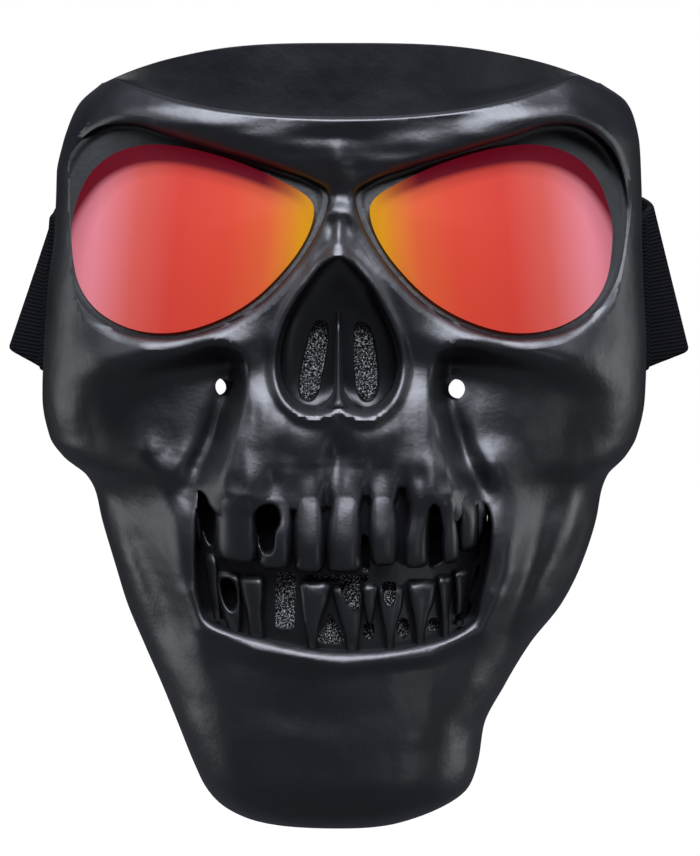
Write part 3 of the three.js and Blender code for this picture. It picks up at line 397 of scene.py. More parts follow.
def carve_all(x, y, z):
    """The face with every opening as deep as its floor, for the inner wall to keep clear of."""
    floors = [(curve, seat_y(x, z)) for curve in SOCKET_CURVES]
    floors += [(NOSE_CURVE, nose_y(x, z)), (MOUTH_CURVE, mouth_y(x))]
    for curve, floor in floors:
        y = np.where(inside(curve, x, z) > -WALL, np.maximum(y, floor), y)
    return np.where((z > lip_line(x) - WALL) & (np.abs(x) < 80), np.maximum(y, plate_y(x)), y)


# %% The shell's outer and inner sheets
ROWS, COLUMNS = 280, 288
INNER_STEP = 4


def dense_places(place, pull, count):
    """Places spread so that there are more of them where the pull is strong."""
    total = np.concatenate([[0], np.cumsum((pull[1:] + pull[:-1]) / 2)])
    return np.interp(np.linspace(0, 1, count + 1) * total[-1], total, place)


down_face = np.linspace(0, PROFILE_LENGTH, 2001)
round_mouth = 0.9 * np.exp(-((down_face - 165) / 34) ** 2)
round_bridge = 0.5 * np.exp(-((down_face - 55) / 30) ** 4)
row_places = dense_places(down_face, 1 + round_mouth + round_bridge, ROWS)
across_face = np.linspace(-1, 1, 2001)
shares = dense_places(across_face, 1 + 1.6 * np.exp(-(across_face / 0.46) ** 6), COLUMNS)
base_x, base_y, base_z = face_grid(row_places, shares)
outer_y = base_y + large_forms(base_x, base_z)
edge_fade = 1 - smooth(0.9, 1, np.abs(shares))[None, :]
outer_y = outer_y + fine_forms(base_x, base_y, base_z) * edge_fade
print("outer sheet", outer_y.shape)


# %% The inner sheet
def widest_shift(shift, rows, columns, reach):
    padded = np.pad(shift, reach, mode="edge")
    size = 2 * reach + 1
    windows = np.lib.stride_tricks.sliding_window_view(padded, (size, size))
    return windows[rows][:, columns].max(axis=(2, 3))


def softened(field, times):
    for _ in range(times):
        padded = np.pad(field, 1, mode="edge")
        high, wide = field.shape
        field = sum(padded[i:i + high, j:j + wide] for i in range(3) for j in range(3)) / 9
    return field


inner_rows = np.arange(0, ROWS + 1, INNER_STEP)
inner_columns = np.arange(0, COLUMNS + 1, INNER_STEP)
front_places = monotone(profile, section_mm[:, 4], row_places[inner_rows])
fall = np.gradient(front_places, row_places[inner_rows])
lift = np.clip(WALL * fall, 0, WALL)[:, None]
inner_x, inner_y, inner_z = face_grid(row_places[inner_rows], shares[inner_columns], WALL, lift)
carved_y = carve_all(base_x, outer_y, base_z)
deepest = np.maximum(widest_shift(carved_y - base_y, inner_rows, inner_columns, 6 + 2 * INNER_STEP), 0)
deepest = softened(deepest, 2)
inner_y = inner_y + deepest
print("inner sheet", inner_y.shape)


# %% Closed meshes
def add_mesh(name, points, faces):
    mesh = bpy.data.meshes.new(name)
    mesh.from_pydata([tuple(p) for p in points], [], faces)
    mesh.validate()
    mesh.polygons.foreach_set("use_smooth", [True] * len(mesh.polygons))
    piece = bpy.data.objects.new(name, mesh)
    bpy.context.scene.collection.objects.link(piece)
    return piece


def sheet_faces(rows, columns, start, flip):
    faces = []
    for r in range(rows - 1):
        for c in range(columns - 1):
            a = start + r * columns + c
            quad = (a, a + columns, a + columns + 1, a + 1)
            faces.append(quad[::-1] if flip else quad)
    return faces


def shell_faces():
    wide, narrow = COLUMNS + 1, len(inner_columns)
    base = (ROWS + 1) * wide
    faces = sheet_faces(ROWS + 1, wide, 0, False) + sheet_faces(len(inner_rows), narrow, base, True)
    step = INNER_STEP

    def close(outer, inner, flip):
        for k in range(len(inner) - 1):
            strip = [inner[k], *outer[k * step:(k + 1) * step + 1], inner[k + 1]]
            for i in range(1, len(strip) - 1):
                apex = strip[0] if i <= step // 2 else strip[-1]
                if apex in (strip[i], strip[i + 1]):
                    continue
                faces.append((apex, strip[i], strip[i + 1])[::-1 if flip else 1])
            middle = strip[1 + step // 2]
            faces.append((strip[0], middle, strip[-1])[::-1 if flip else 1])

    top = list(range(wide))
    bottom = [ROWS * wide + c for c in range(wide)]
    left = [r * wide for r in range(ROWS + 1)]
    right = [r * wide + wide - 1 for r in range(ROWS + 1)]
    inner_top = [base + c for c in range(narrow)]
    inner_bottom = [base + (len(inner_rows) - 1) * narrow + c for c in range(narrow)]
    inner_left = [base + r * narrow for r in range(len(inner_rows))]
    inner_right = [base + r * narrow + narrow - 1 for r in range(len(inner_rows))]
    close(top, inner_top, False)
    close(bottom, inner_bottom, True)
    close(left, inner_left, True)
    close(right, inner_right, False)
    return faces


shell_points = np.concatenate([
    np.stack([base_x, outer_y, base_z], -1).reshape(-1, 3),
    np.stack([inner_x, inner_y, inner_z], -1).reshape(-1, 3),
]) * MM
shell_mesh = (shell_points.tolist(), shell_faces())
shell = add_mesh("shell", *shell_mesh)
print("shell faces", len(shell.data.polygons))


# %% [markdown]
# Holes and teeth are easier to shape as solids of their own. Every tooth is a stack of rounded rings, from
# its biting end to its root, and each small window is a prism with a drawn outline. They join and cut the
# shell as solids, which gives clean lips with no stretched faces.

# %% Solids for joining and cutting
def ring_solid(rings):
    """Rings of equal length joined in order, with capped ends."""
    count = len(rings[0])
    faces = []
    for r in range(1, len(rings)):
        for k in range(count):
            a, b = (r - 1) * count + k, (r - 1) * count + (k + 1) % count
            faces.append((a, b, b + count, a + count))
    last = (len(rings) - 1) * count
    faces.append(tuple(range(count))[::-1])
    faces.append(tuple(range(last, last + count)))
    return [point for ring in rings for point in ring], faces


def solid_object(name, points, faces):
    """A closed mesh in metres from millimetres, turned to face outwards."""
    points = np.array(points, float) * MM
    volume = sum(points[f[0]] @ np.cross(points[f[i]], points[f[i + 1]])
                 for f in faces for i in range(1, len(f) - 1))
    if volume < 0:
        faces = [face[::-1] for face in faces]
    return add_mesh(name, points, faces)


FAR_FRONT, FAR_BACK = -90.0, 110.0


def prism(name, outline):
    rings = [[(x, y, z) for x, z in outline] for y in (FAR_FRONT, FAR_BACK)]
    return solid_object(name, *ring_solid(rings))


def oval(x, z, across, tall, lean=0.0, steps=24):
    turns = np.linspace(0, 2 * math.pi, steps, endpoint=False)
    return [(x + lean * tall / 2 * math.sin(t) + across / 2 * math.cos(t), z + tall / 2 * math.sin(t))
            for t in turns]


def smooth_rows(rows, steps):
    rows = np.array(rows, float)
    along = np.linspace(0, len(rows) - 1, steps)
    return np.stack([monotone(np.arange(len(rows)), rows[:, c], along) for c in range(rows.shape[1])], 1)


# %% [markdown]
# An opening with a sharp edge looks cut with a knife, and a bevel fails where the edge crosses many small
# faces. So each cutter of a large opening widens towards the front in a few rings that follow the face. A ray
# from the front finds where the face lies under each ring, and the lip comes out rolled.

# %% Openings with rolled lips
ROLL_SHARES = (1.0, 0.85, 0.65, 0.45, 0.25, 0.0, -0.15)
PLATE_RINGS = 26
RING_SHARES = [math.sin(math.pi / 2 * r / PLATE_RINGS) for r in range(PLATE_RINGS + 1)]


def front_finder(points, faces):
    """A test that gives the front of a closed mesh at x, z."""
    tree = BVHTree.FromPolygons(points, faces)

    def front_at(x, z):
        hit = tree.ray_cast(Vector((x * MM, 2 * FAR_FRONT * MM, z * MM)), Vector((0, 1, 0)))[0]
        return hit.y / MM if hit else FAR_BACK

    return front_at


def rolled_rings(curve, front_at, radius, deepest):
    """Rings that open outwards over the edge of a cut, so that its lip comes out rolled."""
    curve = np.array(curve, float)
    along = np.roll(curve, -1, 0) - np.roll(curve, 1, 0)
    away = np.stack([along[:, 1], -along[:, 0]], 1) / np.linalg.norm(along, axis=1)[:, None]
    area = np.sum(curve[:, 0] * np.roll(curve[:, 1], -1) - curve[:, 1] * np.roll(curve[:, 0], -1))
    away *= math.copysign(1, area)
    rings = []
    for share in ROLL_SHARES:
        sink = radius * (0.3 * share + 0.7 * (1 - math.sqrt(1 - max(share, 0) ** 2)))
        moved = curve + away * radius * (1 - share)
        rings.append([(x, min(front_at(x, z) + sink, deepest(i) - 0.02), z) for i, (x, z) in enumerate(moved)])
    rings.append([(x, FAR_FRONT, z) for x, _, z in rings[-1]])
    return rings


def plate_rings(curve, surface):
    """Rings from the middle of an outline to its rim. The surface gives Y at x, z and the share of the way."""
    middle = np.mean(curve, 0)
    return [[(x, float(surface(x, z, share)), z) for x, z in middle + (curve - middle) * max(share, 0.001)]
            for share in RING_SHARES]


def rolled_opening(name, curve, floor, radius, front_at):
    """Cuts an opening down to its floor, with a rolled lip."""
    rings = plate_rings(np.array(curve, float), floor)
    rim = rings[-1]
    return solid_object(name, *ring_solid(rings + rolled_rings(curve, front_at, radius, lambda i: rim[i][1])))


def rolled_window(name, curve, radius, front_at):
    """Cuts right through, with a rolled lip."""
    back = [(x, FAR_BACK, z) for x, z in curve]
    return solid_object(name, *ring_solid([back] + rolled_rings(curve, front_at, radius, lambda i: FAR_BACK)))


# %% Teeth
# Every row is z, left, right and how far it stands out of the mouth's floor, from the biting end to the root.
UPPER_TEETH = [
    [(-100.7, -45.2, -43.6, 2.4), (-97, -46.2, -43.4, 4.6), (-90, -46.8, -44.2, 4.6),
     (-86, -46.6, -44.8, 2.6)],
    [(-105.8, -36.4, -27.2, 6.4), (-104.0, -38.6, -26.0, 9.2), (-99, -39.4, -25.8, 10.4),
     (-93, -39.2, -25.9, 10.8),
     (-88, -38.0, -26.6, 10), (-84, -35.8, -28.0, 10), (-81.5, -33.6, -29.8, 10)],
    [(-107.3, -24.6, -17.0, 5.2), (-105.6, -25.8, -15.7, 8.0), (-100, -26.2, -15.2, 8.8),
     (-94, -26.4, -15.2, 8.6),
     (-88, -25.4, -15.8, 8), (-84.5, -24.0, -16.9, 8), (-82, -22.4, -18.2, 8)],
    [(-107.8, -13.6, -6.2, 5.0), (-106.2, -14.8, -5.2, 7.6), (-100, -15.0, -5.0, 8.2),
     (-94, -14.9, -5.2, 7.4),
     (-88, -13.8, -6.2, 7), (-84.5, -12.9, -7.3, 7), (-82, -12.0, -8.6, 7)],
    [(-107.8, -3.8, 5.0, 5.0), (-106.2, -4.9, 6.2, 7.6), (-100, -4.9, 6.4, 8.2), (-94, -4.6, 6.2, 7.4),
     (-88, -3.4, 5.2, 7), (-84.5, -2.4, 4.2, 7), (-82, -1.0, 3.0, 7)],
    [(-106.0, 10.0, 15.8, 4.8), (-104.2, 8.9, 17.2, 7.4), (-98, 8.2, 17.8, 8.2), (-92, 8.2, 17.4, 7.6),
     (-87, 8.8, 16.2, 7), (-83.5, 9.6, 14.6, 7), (-81, 10.6, 13.2, 7)],
    [(-106.9, 20.0, 25.6, 5.2), (-105.2, 19.0, 26.7, 8.0), (-99, 19.0, 27.0, 9.0), (-93, 20.2, 27.2, 8.8),
     (-88, 21.0, 27.0, 8), (-84, 21.8, 26.0, 8), (-81.5, 22.6, 25.2, 8)],
    [(-106.0, 31.2, 35.4, 6.4), (-104.2, 30.4, 36.5, 9.4), (-98, 30.2, 36.4, 10.8), (-93, 30.0, 35.8, 11),
     (-88, 29.8, 35.2, 10), (-84.5, 30.4, 34.2, 10), (-82.5, 31.0, 33.4, 10)],
    [(-102.8, 36.8, 40.4, 6.0), (-100.8, 35.9, 41.7, 9.0), (-95, 35.7, 42.2, 10.6), (-90, 36.2, 41.6, 11),
     (-86, 37.0, 40.6, 10), (-83.5, 37.8, 39.8, 10)],
    [(-100.2, 41.8, 43.0, 4.4), (-96, 41.4, 44.4, 7.4), (-90, 41.2, 44.8, 7.8), (-85.5, 41.8, 43.8, 4.6)],
]
LOWER_TEETH = [
    [(-104.2, -42.0, -39.6, 1.6), (-106.5, -42.7, -38.6, 3.2), (-113, -41.7, -38.4, 3.4),
     (-119, -40.8, -37.9, 3.2),
     (-124.5, -39.8, -37.2, 2.0)],
    [(-109.3, -38.2, -32.2, 1.8), (-111, -39.0, -31.5, 3.4), (-117, -38.7, -31.2, 3.9),
     (-122, -37.2, -31.2, 3.7),
     (-127.5, -35.2, -31.4, 2.2)],
    [(-109.9, -30.9, -24.6, 2.2), (-111.6, -31.8, -23.8, 4.2), (-117, -30.7, -24.1, 4.6),
     (-121, -29.6, -24.5, 4.4),
     (-126, -29.1, -24.0, 4.0), (-131, -28.9, -23.4, 2.2)],
    [(-110.7, -12.7, -4.0, 2.2), (-112.4, -13.3, -3.3, 4.2), (-117, -12.9, -3.9, 4.8),
     (-122, -12.3, -5.8, 4.6),
     (-127, -11.2, -7.0, 4.2), (-133, -10.4, -7.2, 2.2)],
    [(-112.0, -2.6, 5.8, 2.0), (-113.8, -3.2, 6.5, 4.0), (-119, -2.0, 6.4, 4.6), (-124, -0.5, 6.0, 4.4),
     (-128, 0.7, 5.6, 4.0), (-133, 1.2, 5.2, 2.2)],
    [(-111.6, 6.8, 10.2, 2.0), (-113.2, 6.0, 11.1, 3.8), (-118, 6.6, 10.6, 4.0), (-122, 7.2, 10.0, 3.2),
     (-124.4, 7.8, 9.2, 1.6)],
    [(-112.6, 11.6, 18.6, 2.0), (-114.2, 11.0, 19.3, 4.0), (-119, 11.4, 18.8, 4.6), (-124, 12.5, 17.2, 4.4),
     (-128, 13.2, 16.4, 3.9), (-133, 13.4, 16.2, 2.2)],
    [(-111.2, 21.0, 28.3, 2.2), (-113.0, 20.2, 29.3, 4.2), (-118, 20.8, 28.6, 4.8), (-123, 22.0, 26.6, 4.6),
     (-128, 22.6, 25.8, 4.0), (-133, 22.8, 25.6, 2.2)],
    [(-110.0, 30.0, 33.6, 2.0), (-111.8, 29.4, 34.4, 3.7), (-118, 30.2, 33.8, 4.0), (-123, 30.7, 33.2, 3.7),
     (-129.5, 30.9, 33.2, 2.2)],
    [(-108.8, 35.0, 38.9, 2.0), (-110.4, 34.4, 39.8, 3.5), (-116, 35.1, 38.7, 3.6), (-120, 35.3, 38.1, 3.4),
     (-126, 35.0, 37.8, 2.2)],
]
TOOTH_SIDES = 12


def tooth(rows, floor=mouth_y, bone=None):
    """Half rings from the biting end to the root, where an upper tooth grows out of the bone."""
    rings = []
    for z, left, right, stand in smooth_rows(rows, 3 * len(rows)):
        middle, half = (left + right) / 2, (right - left) / 2
        ring = []
        for k in range(TOOTH_SIDES + 1):
            turn = math.pi * k / TOOTH_SIDES
            x = middle + half * math.copysign(abs(math.cos(turn)) ** 0.7, math.cos(turn))
            rise = math.sin(turn) ** 0.55
            y = floor(x) + 0.5 - (stand + 0.5) * rise
            if bone:
                root = float(smooth(-96, -86, z))
                bulge = 1.0 - 1.6 * float(smooth(-91, -80, z))
                y += root * (bone(x, z) + 0.7 - (0.7 + bulge) * rise - y)
            ring.append((x, y, z))
        ring += [(left, floor(left) + 2.0, z), (right, floor(right) + 2.0, z)]
        rings.append(ring)
    return ring_solid(rings)


# The thin blade that parts the nose opening
SEPTUM = [
    (-29.5, -1.6, -0.4, 3.0), (-32.0, -2.0, -0.1, 10.0), (-40.0, -2.1, 0.0, 15.0), (-48.0, -2.3, 0.2, 18.5),
    (-54.0, -2.7, 0.7, 21.5), (-57.0, -4.6, 2.6, 22.5), (-58.6, -6.6, 4.4, 21.5),
]


def septum_floor(x):
    return float(nose_y(x, -48))


# %% Windows between the teeth, nose slots and vents
KEYHOLE = [
    (-26.5, -91.8), (-25.5, -88.4), (-22.7, -86.9), (-20.2, -87.7), (-19.0, -90.6), (-19.2, -93.2),
    (-20.2, -95.2),
    (-20.6, -97.5), (-20.7, -100.0), (-21.7, -101.8), (-23.8, -102.2), (-25.3, -100.2), (-25.7, -97.3),
    (-26.4, -94.5),
]
LEFT_WINDOW = [
    (-44.4, -85.0), (-43.6, -84.4), (-42.0, -85.6), (-40.8, -88.5), (-40.3, -93.0), (-40.0, -98.0),
    (-40.2, -101.4),
    (-41.6, -100.4), (-43.2, -96.0), (-44.2, -91.0),
]
TOOTH_GAP = [
    (26.9, -93.6), (28.6, -92.8), (30.2, -93.6), (30.9, -96.0), (30.6, -100.0), (31.0, -104.8),
    (29.4, -106.6),
    (27.4, -106.4), (26.8, -100.0),
]
RIGHT_UPPER_WINDOW = [
    (43.6, -92.3), (45.2, -92.8), (44.8, -97.3), (43.4, -101.0), (42.2, -106.0), (40.3, -106.6),
    (40.9, -103.0),
    (42.6, -98.6), (43.4, -95.4),
]
RIGHT_LOWER_WINDOW = [
    (42.0, -108.2), (42.8, -108.8), (41.8, -113.5), (39.6, -118.0), (40.2, -120.8), (38.8, -123.8),
    (35.4, -124.8),
    (35.2, -123.0), (37.4, -121.0), (38.4, -117.0), (40.2, -112.8),
]
MOLAR_WINDOW = [
    (-37.6, -112.6), (-36.4, -111.4), (-34.2, -111.8), (-32.8, -114.0), (-32.4, -117.4), (-33.0, -120.4),
    (-34.4, -121.2), (-36.0, -119.6), (-37.2, -116.4),
]
FOAM_WINDOWS = [
    [(-20.4, -109.4), (-14.6, -109.4), (-14.4, -118), (-14.8, -125.6), (-16.4, -126.4), (-19.4, -126.2),
     (-20.6, -125), (-20.6, -117)],
    [(-3.6, -121.2), (-5.6, -125.2), (-7.4, -128.4), (-6.8, -130.6), (-3.4, -131.0), (0.0, -130.6),
     (0.6, -128.4), (-1.4, -125.0)],
    oval(8.2, -126.4, 3.6, 6.6), oval(18.9, -126.1, 3.9, 6.6), oval(28.3, -125.6, 4.2, 4.6),
    [(-0.6, -111.2), (2.6, -110.6), (5.6, -111.2), (5.8, -116), (5.2, -119.8), (3.4, -120.2),
     (1.4, -118.2), (0.1, -115)],
    [(12.5, -112.0), (14.6, -111.4), (16.6, -112.0), (16.7, -115.2), (16.0, -118), (14.6, -119.3),
     (13.1, -118), (12.4, -115.2)],
    [(-10.6, -108.9), (-4, -109.3), (6.4, -109.0), (8.2, -110.0), (6.6, -111.6), (-2, -111.4), (-10, -110.6)],
    [(6.2, -97.0), (8.0, -97.4), (8.6, -102), (8.6, -107.6), (6.6, -108.4), (6.0, -103)],
]
NOSE_SLOTS = [
    [(-6.2, -32.6), (-4.6, -34.2), (-4.5, -39), (-5.4, -45), (-6.6, -51), (-7.6, -55.4), (-10.0, -57.4),
     (-12.6, -56.0),
     (-13.0, -52), (-12.0, -45), (-10.4, -38.6), (-8.4, -33.8)],
    [(5.6, -33.0), (3.9, -34.6), (3.6, -40), (3.9, -47), (4.6, -53.6), (6.4, -57.2), (9.2, -57.0),
     (11.0, -53.4),
     (10.8, -46), (9.8, -39), (8.2, -34.6)],
]
VENTS = [
    # x, z, diameter, lean
    (-37.6, -52.8, 5.6, -0.75), (35.5, -53.5, 6.2, 0.34),
]
VENT_FRONT, VENT_BACK = 4, 60
EYE_OPENING_SHARE = 0.91
SOCKET_ROLL, NOSE_ROLL, MOUTH_ROLL, PLATE_ROLL, WINDOW_ROLL, SLOT_ROLL = 3.0, 1.4, 1.2, 0.6, 0.9, 0.5


def socket_floor(x, z, edge):
    return seat_y(x, z) - 0.6 * smooth(0.93, 0.97, edge)


def nose_floor(x, z, edge):
    return nose_y(x, z) - 2.5 * edge ** 8


def round_outline(points):
    return [tuple(p) for p in closed_curve(points, 4)]


lip = np.linspace(-76, 76, 77)
PLATE_CURVE = [(x, lip_line(x)) for x in lip] + [(x, 80) for x in np.linspace(78, -78, 27)]
front_at = front_finder(*shell_mesh)
teeth = [solid_object("tooth", *tooth(rows, bone=front_at)) for rows in UPPER_TEETH[1:-1]]
teeth += [solid_object("tooth", *tooth(rows)) for rows in [UPPER_TEETH[0], UPPER_TEETH[-1], *LOWER_TEETH]]
print("teeth", len(teeth))
openings = [rolled_opening("socket", curve, socket_floor, SOCKET_ROLL, front_at) for curve in SOCKET_CURVES]
openings.append(rolled_opening("nose_opening", NOSE_CURVE, nose_floor, NOSE_ROLL, front_at))
openings.append(rolled_opening("mouth_opening", MOUTH_CURVE, lambda x, z, edge: mouth_y(x),
                               MOUTH_ROLL, front_at))
openings.append(rolled_opening("forehead_plate", PLATE_CURVE, lambda x, z, edge: plate_y(x),
                               PLATE_ROLL, front_at))
plain_windows = [RIGHT_UPPER_WINDOW, RIGHT_LOWER_WINDOW, *FOAM_WINDOWS]
cutters = [prism("window", round_outline(points)) for points in plain_windows]
for x, z, across, lean in VENTS:
    pivot = front_at(x, z) + WALL / 2
    rings = [[(px + lean * (y - pivot), y, pz) for px, pz in oval(x, z, across, across)]
             for y in (pivot - VENT_FRONT, VENT_BACK)]
    cutters.append(solid_object("vent", *ring_solid(rings)))
for curve in LENS_CURVES:
    middle = np.mean(curve, 0)
    cutters.append(prism("eye_opening", middle + (curve[::2] - middle) * EYE_OPENING_SHARE))
print("openings", len(openings), "cutters", len(cutters))

# %% Seats of the filters and slots of the strap
GAP = 0.3
FOAM_THICKNESS = 4.0
SEAT_BACK, NOSE_STEPS, MOUTH_STEPS = 100, 2, 24
NOSE_PAD = (-14.7, 12.9, -58.5, -28.0)
MOUTH_PAD = (-45.2, 45.2, -132.5, -81.6)


def pad_rings(edges, floor, front, back, steps, grow):
    left, right, bottom, top = edges
    rings = []
    for x in np.linspace(left - grow, right + grow, steps + 1):
        low, high = bottom - grow, top + grow
        rings.append([
            (x, floor(x, low) + front, low), (x, floor(x, low) + back, low),
            (x, floor(x, high) + back, high), (x, floor(x, high) + front, high),
        ])
    return rings


def mouth_floor(x, z):
    return mouth_y(x)


nose_seat = pad_rings(NOSE_PAD, nose_y, WALL, SEAT_BACK, NOSE_STEPS, GAP)
mouth_seat = pad_rings(MOUTH_PAD, mouth_floor, WALL, SEAT_BACK, MOUTH_STEPS, GAP)
cutters.append(solid_object("nose_seat", *ring_solid(nose_seat)))
cutters.append(solid_object("mouth_seat", *ring_solid(mouth_seat)))

STRAP_WIDTH, STRAP_THICKNESS, SLOT_PLAY, RIM_BAR = 50.0, 2.0, 1.0, 6.0
STRAP_MIDDLE = -29.0


def section_at(z):
    down = TOP_ABOVE_BRIDGE - z
    return {name: float(monotone(section_mm[:, 0], section_mm[:, c], np.array([down]))[0])
            for c, name in enumerate(["down", "droop", "left", "right", "front", "side", "rear", "square"])}


strap_rim = section_at(STRAP_MIDDLE)["rear"]
slot_back = strap_rim - RIM_BAR
slot_middle = slot_back - STRAP_THICKNESS / 2 - SLOT_PLAY
for side, name in ((-1, "left"), (1, "right")):
    wall = section_at(STRAP_MIDDLE)[name]
    reach = STRAP_WIDTH / 2 + SLOT_PLAY
    near, far = sorted([side * (wall - 4 * WALL), side * (wall + 4 * WALL)])
    front = slot_middle - STRAP_THICKNESS / 2 - SLOT_PLAY
    rings = [[(x, front, STRAP_MIDDLE - reach), (x, slot_back, STRAP_MIDDLE - reach),
              (x, slot_back, STRAP_MIDDLE + reach), (x, front, STRAP_MIDDLE + reach)] for x in (near, far)]
    cutters.append(solid_object("strap_slot", *ring_solid(rings)))
print("strap slot behind, mm:", round(slot_back, 1))


# %% Join and cut
def combine(piece, name, steps):
    for other, operation in steps:
        step = piece.modifiers.new(operation, "BOOLEAN")
        step.object, step.operation, step.solver = other, operation, "MANIFOLD"
    bpy.context.view_layer.update()
    mesh = bpy.data.meshes.new_from_object(piece.evaluated_get(bpy.context.evaluated_depsgraph_get()))
    for other in [piece, *(other for other, _ in steps)]:
        bpy.data.objects.remove(other)
    mesh.name = name
    result = bpy.data.objects.new(name, mesh)
    bpy.context.scene.collection.objects.link(result)
    return result


septum = solid_object("septum", *tooth(SEPTUM, septum_floor))
steps = [(opening, "DIFFERENCE") for opening in openings]
steps += [(added, "UNION") for added in [*teeth, septum]]
shell = combine(shell, "toothed_shell", steps)
front_at = front_finder([v.co for v in shell.data.vertices], [list(p.vertices) for p in shell.data.polygons])
for points in [KEYHOLE, LEFT_WINDOW, TOOTH_GAP, MOLAR_WINDOW]:
    cutters.append(rolled_window("rolled_window", round_outline(points), WINDOW_ROLL, front_at))
cutters += [rolled_window("nose_slot", round_outline(points), SLOT_ROLL, front_at) for points in NOSE_SLOTS]
shell = combine(shell, "mask_shell", [(cutter, "DIFFERENCE") for cutter in cutters])
shell.data.polygons.foreach_set("use_smooth", [True] * len(shell.data.polygons))
shell.data.set_sharp_from_angle(angle=math.radians(42))
print("shell faces after cutting", len(shell.data.polygons))

# %% [markdown]
# The lenses are shallow domes of even thickness. Each is made of rings that shrink from its outline to its
# middle, so that the curve of the dome stays clean right to the edge, which a flat disc with a bump wouldn't
# give.

# %% Lenses
LENS_THICKNESS, LENS_DOME = 2.0, 6.0


def lens_back(x, z, edge):
    return seat_y(x, z) - GAP - LENS_DOME * (1 - edge * edge)


def lens_front(x, z, edge):
    return lens_back(x, z, edge) - LENS_THICKNESS


lenses = []
for name, curve in zip(["mirror_lens_left", "mirror_lens_right"], LENS_CURVES):
    rings = plate_rings(curve, lens_back) + plate_rings(curve, lens_front)[::-1]
    lens = solid_object(name, *ring_solid(rings))
    lens.data.set_sharp_from_angle(angle=math.radians(40))
    lenses.append(lens)
print("lens faces", len(lenses[0].data.polygons))

# %% [markdown]
# Behind the slots of the nose and the gaps of the teeth lies a thin sheet of open foam. It is cut a little
# larger than the openings and bent to the floor that it lies behind. A sheet of small cells follows that
# bend, and its surface is roughened so that its cut edges look torn.

# %% Foam filters
def foam_sheet(name, edges, floor, step):
    left, right, bottom, top = edges
    across, up = max(2, round((right - left) / step)), max(2, round((top - bottom) / step))
    points, faces = [], []
    for depth in (WALL + GAP, WALL + GAP + FOAM_THICKNESS):
        for z in np.linspace(bottom, top, up + 1):
            for x in np.linspace(left, right, across + 1):
                edge = min(x - left, right - x, z - bottom, top - z)
                inset = 0.8 * max(0.0, 1 - edge / 1.2) ** 2
                swell = 0.25 * noise.noise(Vector((x, z, depth)) / 1.7) * (edge > 0.01)
                face = inset if depth < FOAM_THICKNESS else -inset
                points.append((x, floor(x, z) + depth + face + swell * 0.5 + 0.15 * (depth < FOAM_THICKNESS), z))
    layer = (across + 1) * (up + 1)
    for r in range(up):
        for c in range(across):
            a = r * (across + 1) + c
            quad = (a, a + 1, a + across + 2, a + across + 1)
            faces.append(quad)
            faces.append(tuple(layer + i for i in quad[::-1]))
    rim = [c for c in range(across)] + [r * (across + 1) + across for r in range(up)]
    rim += [up * (across + 1) + c for c in range(across, 0, -1)] + [r * (across + 1) for r in range(up, 0, -1)]
    for k, a in enumerate(rim):
        b = rim[(k + 1) % len(rim)]
        faces.append((b, a, layer + a, layer + b))
    sheet = solid_object(name, points, faces)
    front = sheet.data.attributes.new("front", "FLOAT", "POINT")
    front.data.foreach_set("value", [float(i < layer) for i in range(len(sheet.data.vertices))])
    return sheet


nose_foam = foam_sheet("nose_foam", NOSE_PAD, nose_y, 1.0)
mouth_foam = foam_sheet("mouth_foam", MOUTH_PAD, mouth_floor, 1.2)
print("foam faces", len(nose_foam.data.polygons), len(mouth_foam.data.polygons))

# %% [markdown]
# The strap is one band of woven elastic. It runs round the back of the head, and each end goes through a slot
# in the rim and is folded back and sewn. Two edge lines with smooth curves through their points carry the
# band, because its upper and lower edges take slightly different ways where it leans out.

# %% Strap band
STRAP_RISE, STRAP_TAIL, HEAD_LENGTH = 9.0, 18.0, 185.0
STRAP_BULGE = {-1: 7.0, 1: 11.0}
STRAP_FLARE = {-1: 16.0, 1: 12.0}


def wall_at(side, z):
    return section_at(z)["left" if side < 0 else "right"]


def strap_edge(side, edge):
    bulge, flare = STRAP_BULGE[side], STRAP_FLARE[side]
    anchor = STRAP_MIDDLE + edge * STRAP_WIDTH / 2
    clear = STRAP_THICKNESS / 2 + SLOT_PLAY
    out = wall_at(side, anchor) + clear
    within = wall_at(side, anchor) - WALL - clear
    level = wall_at(side, STRAP_MIDDLE) + bulge
    widest = level - edge * flare / 2
    widest_y = strap_rim + 0.13 * HEAD_LENGTH
    step = widest_y - strap_rim
    upright = math.sqrt(1 - (flare / STRAP_WIDTH) ** 2)
    sewn = STRAP_THICKNESS + GAP * 2

    def leave(t):
        return out + (widest - out) * t

    plan = [
        (leave(0.62) - sewn, strap_rim + STRAP_TAIL * 0.8, 0.62),
        (leave(0.34) - sewn, strap_rim + STRAP_TAIL * 0.42, 0.34),
        (within + 0.5, strap_rim + 1, 0), (within, slot_back + 1, 0), (within + 0.8, slot_middle + 0.5, 0),
        ((within + out) / 2, slot_middle, 0), (out - 0.8, slot_middle + 0.5, 0), (out, slot_back + 1, 0),
        (out + 0.2, strap_rim + 1, 0), (leave(0.34), strap_rim + step * 0.34, 0.34),
        (leave(0.68), strap_rim + step * 0.62, 0.68),
    ]
    points = []
    for x, y, t in plan:
        height = 1 + (upright - 1) * t
        points.append((side * x, y, STRAP_MIDDLE + t * STRAP_RISE * 0.3 + edge * height * STRAP_WIDTH / 2))
    for k in range(8):
        share = k / 7
        turn = share * math.pi / 2
        x = (level - edge * flare / 2 * math.cos(turn)) * max(math.cos(turn), 0) ** 0.85
        y = widest_y + (HEAD_LENGTH - widest_y) * math.sin(turn) ** 0.95
        height = upright + (1 - upright) * share
        rise = STRAP_RISE * (0.3 + 0.7 * share)
        points.append((side * x, y, STRAP_MIDDLE + rise + edge * height * STRAP_WIDTH / 2))
    return points


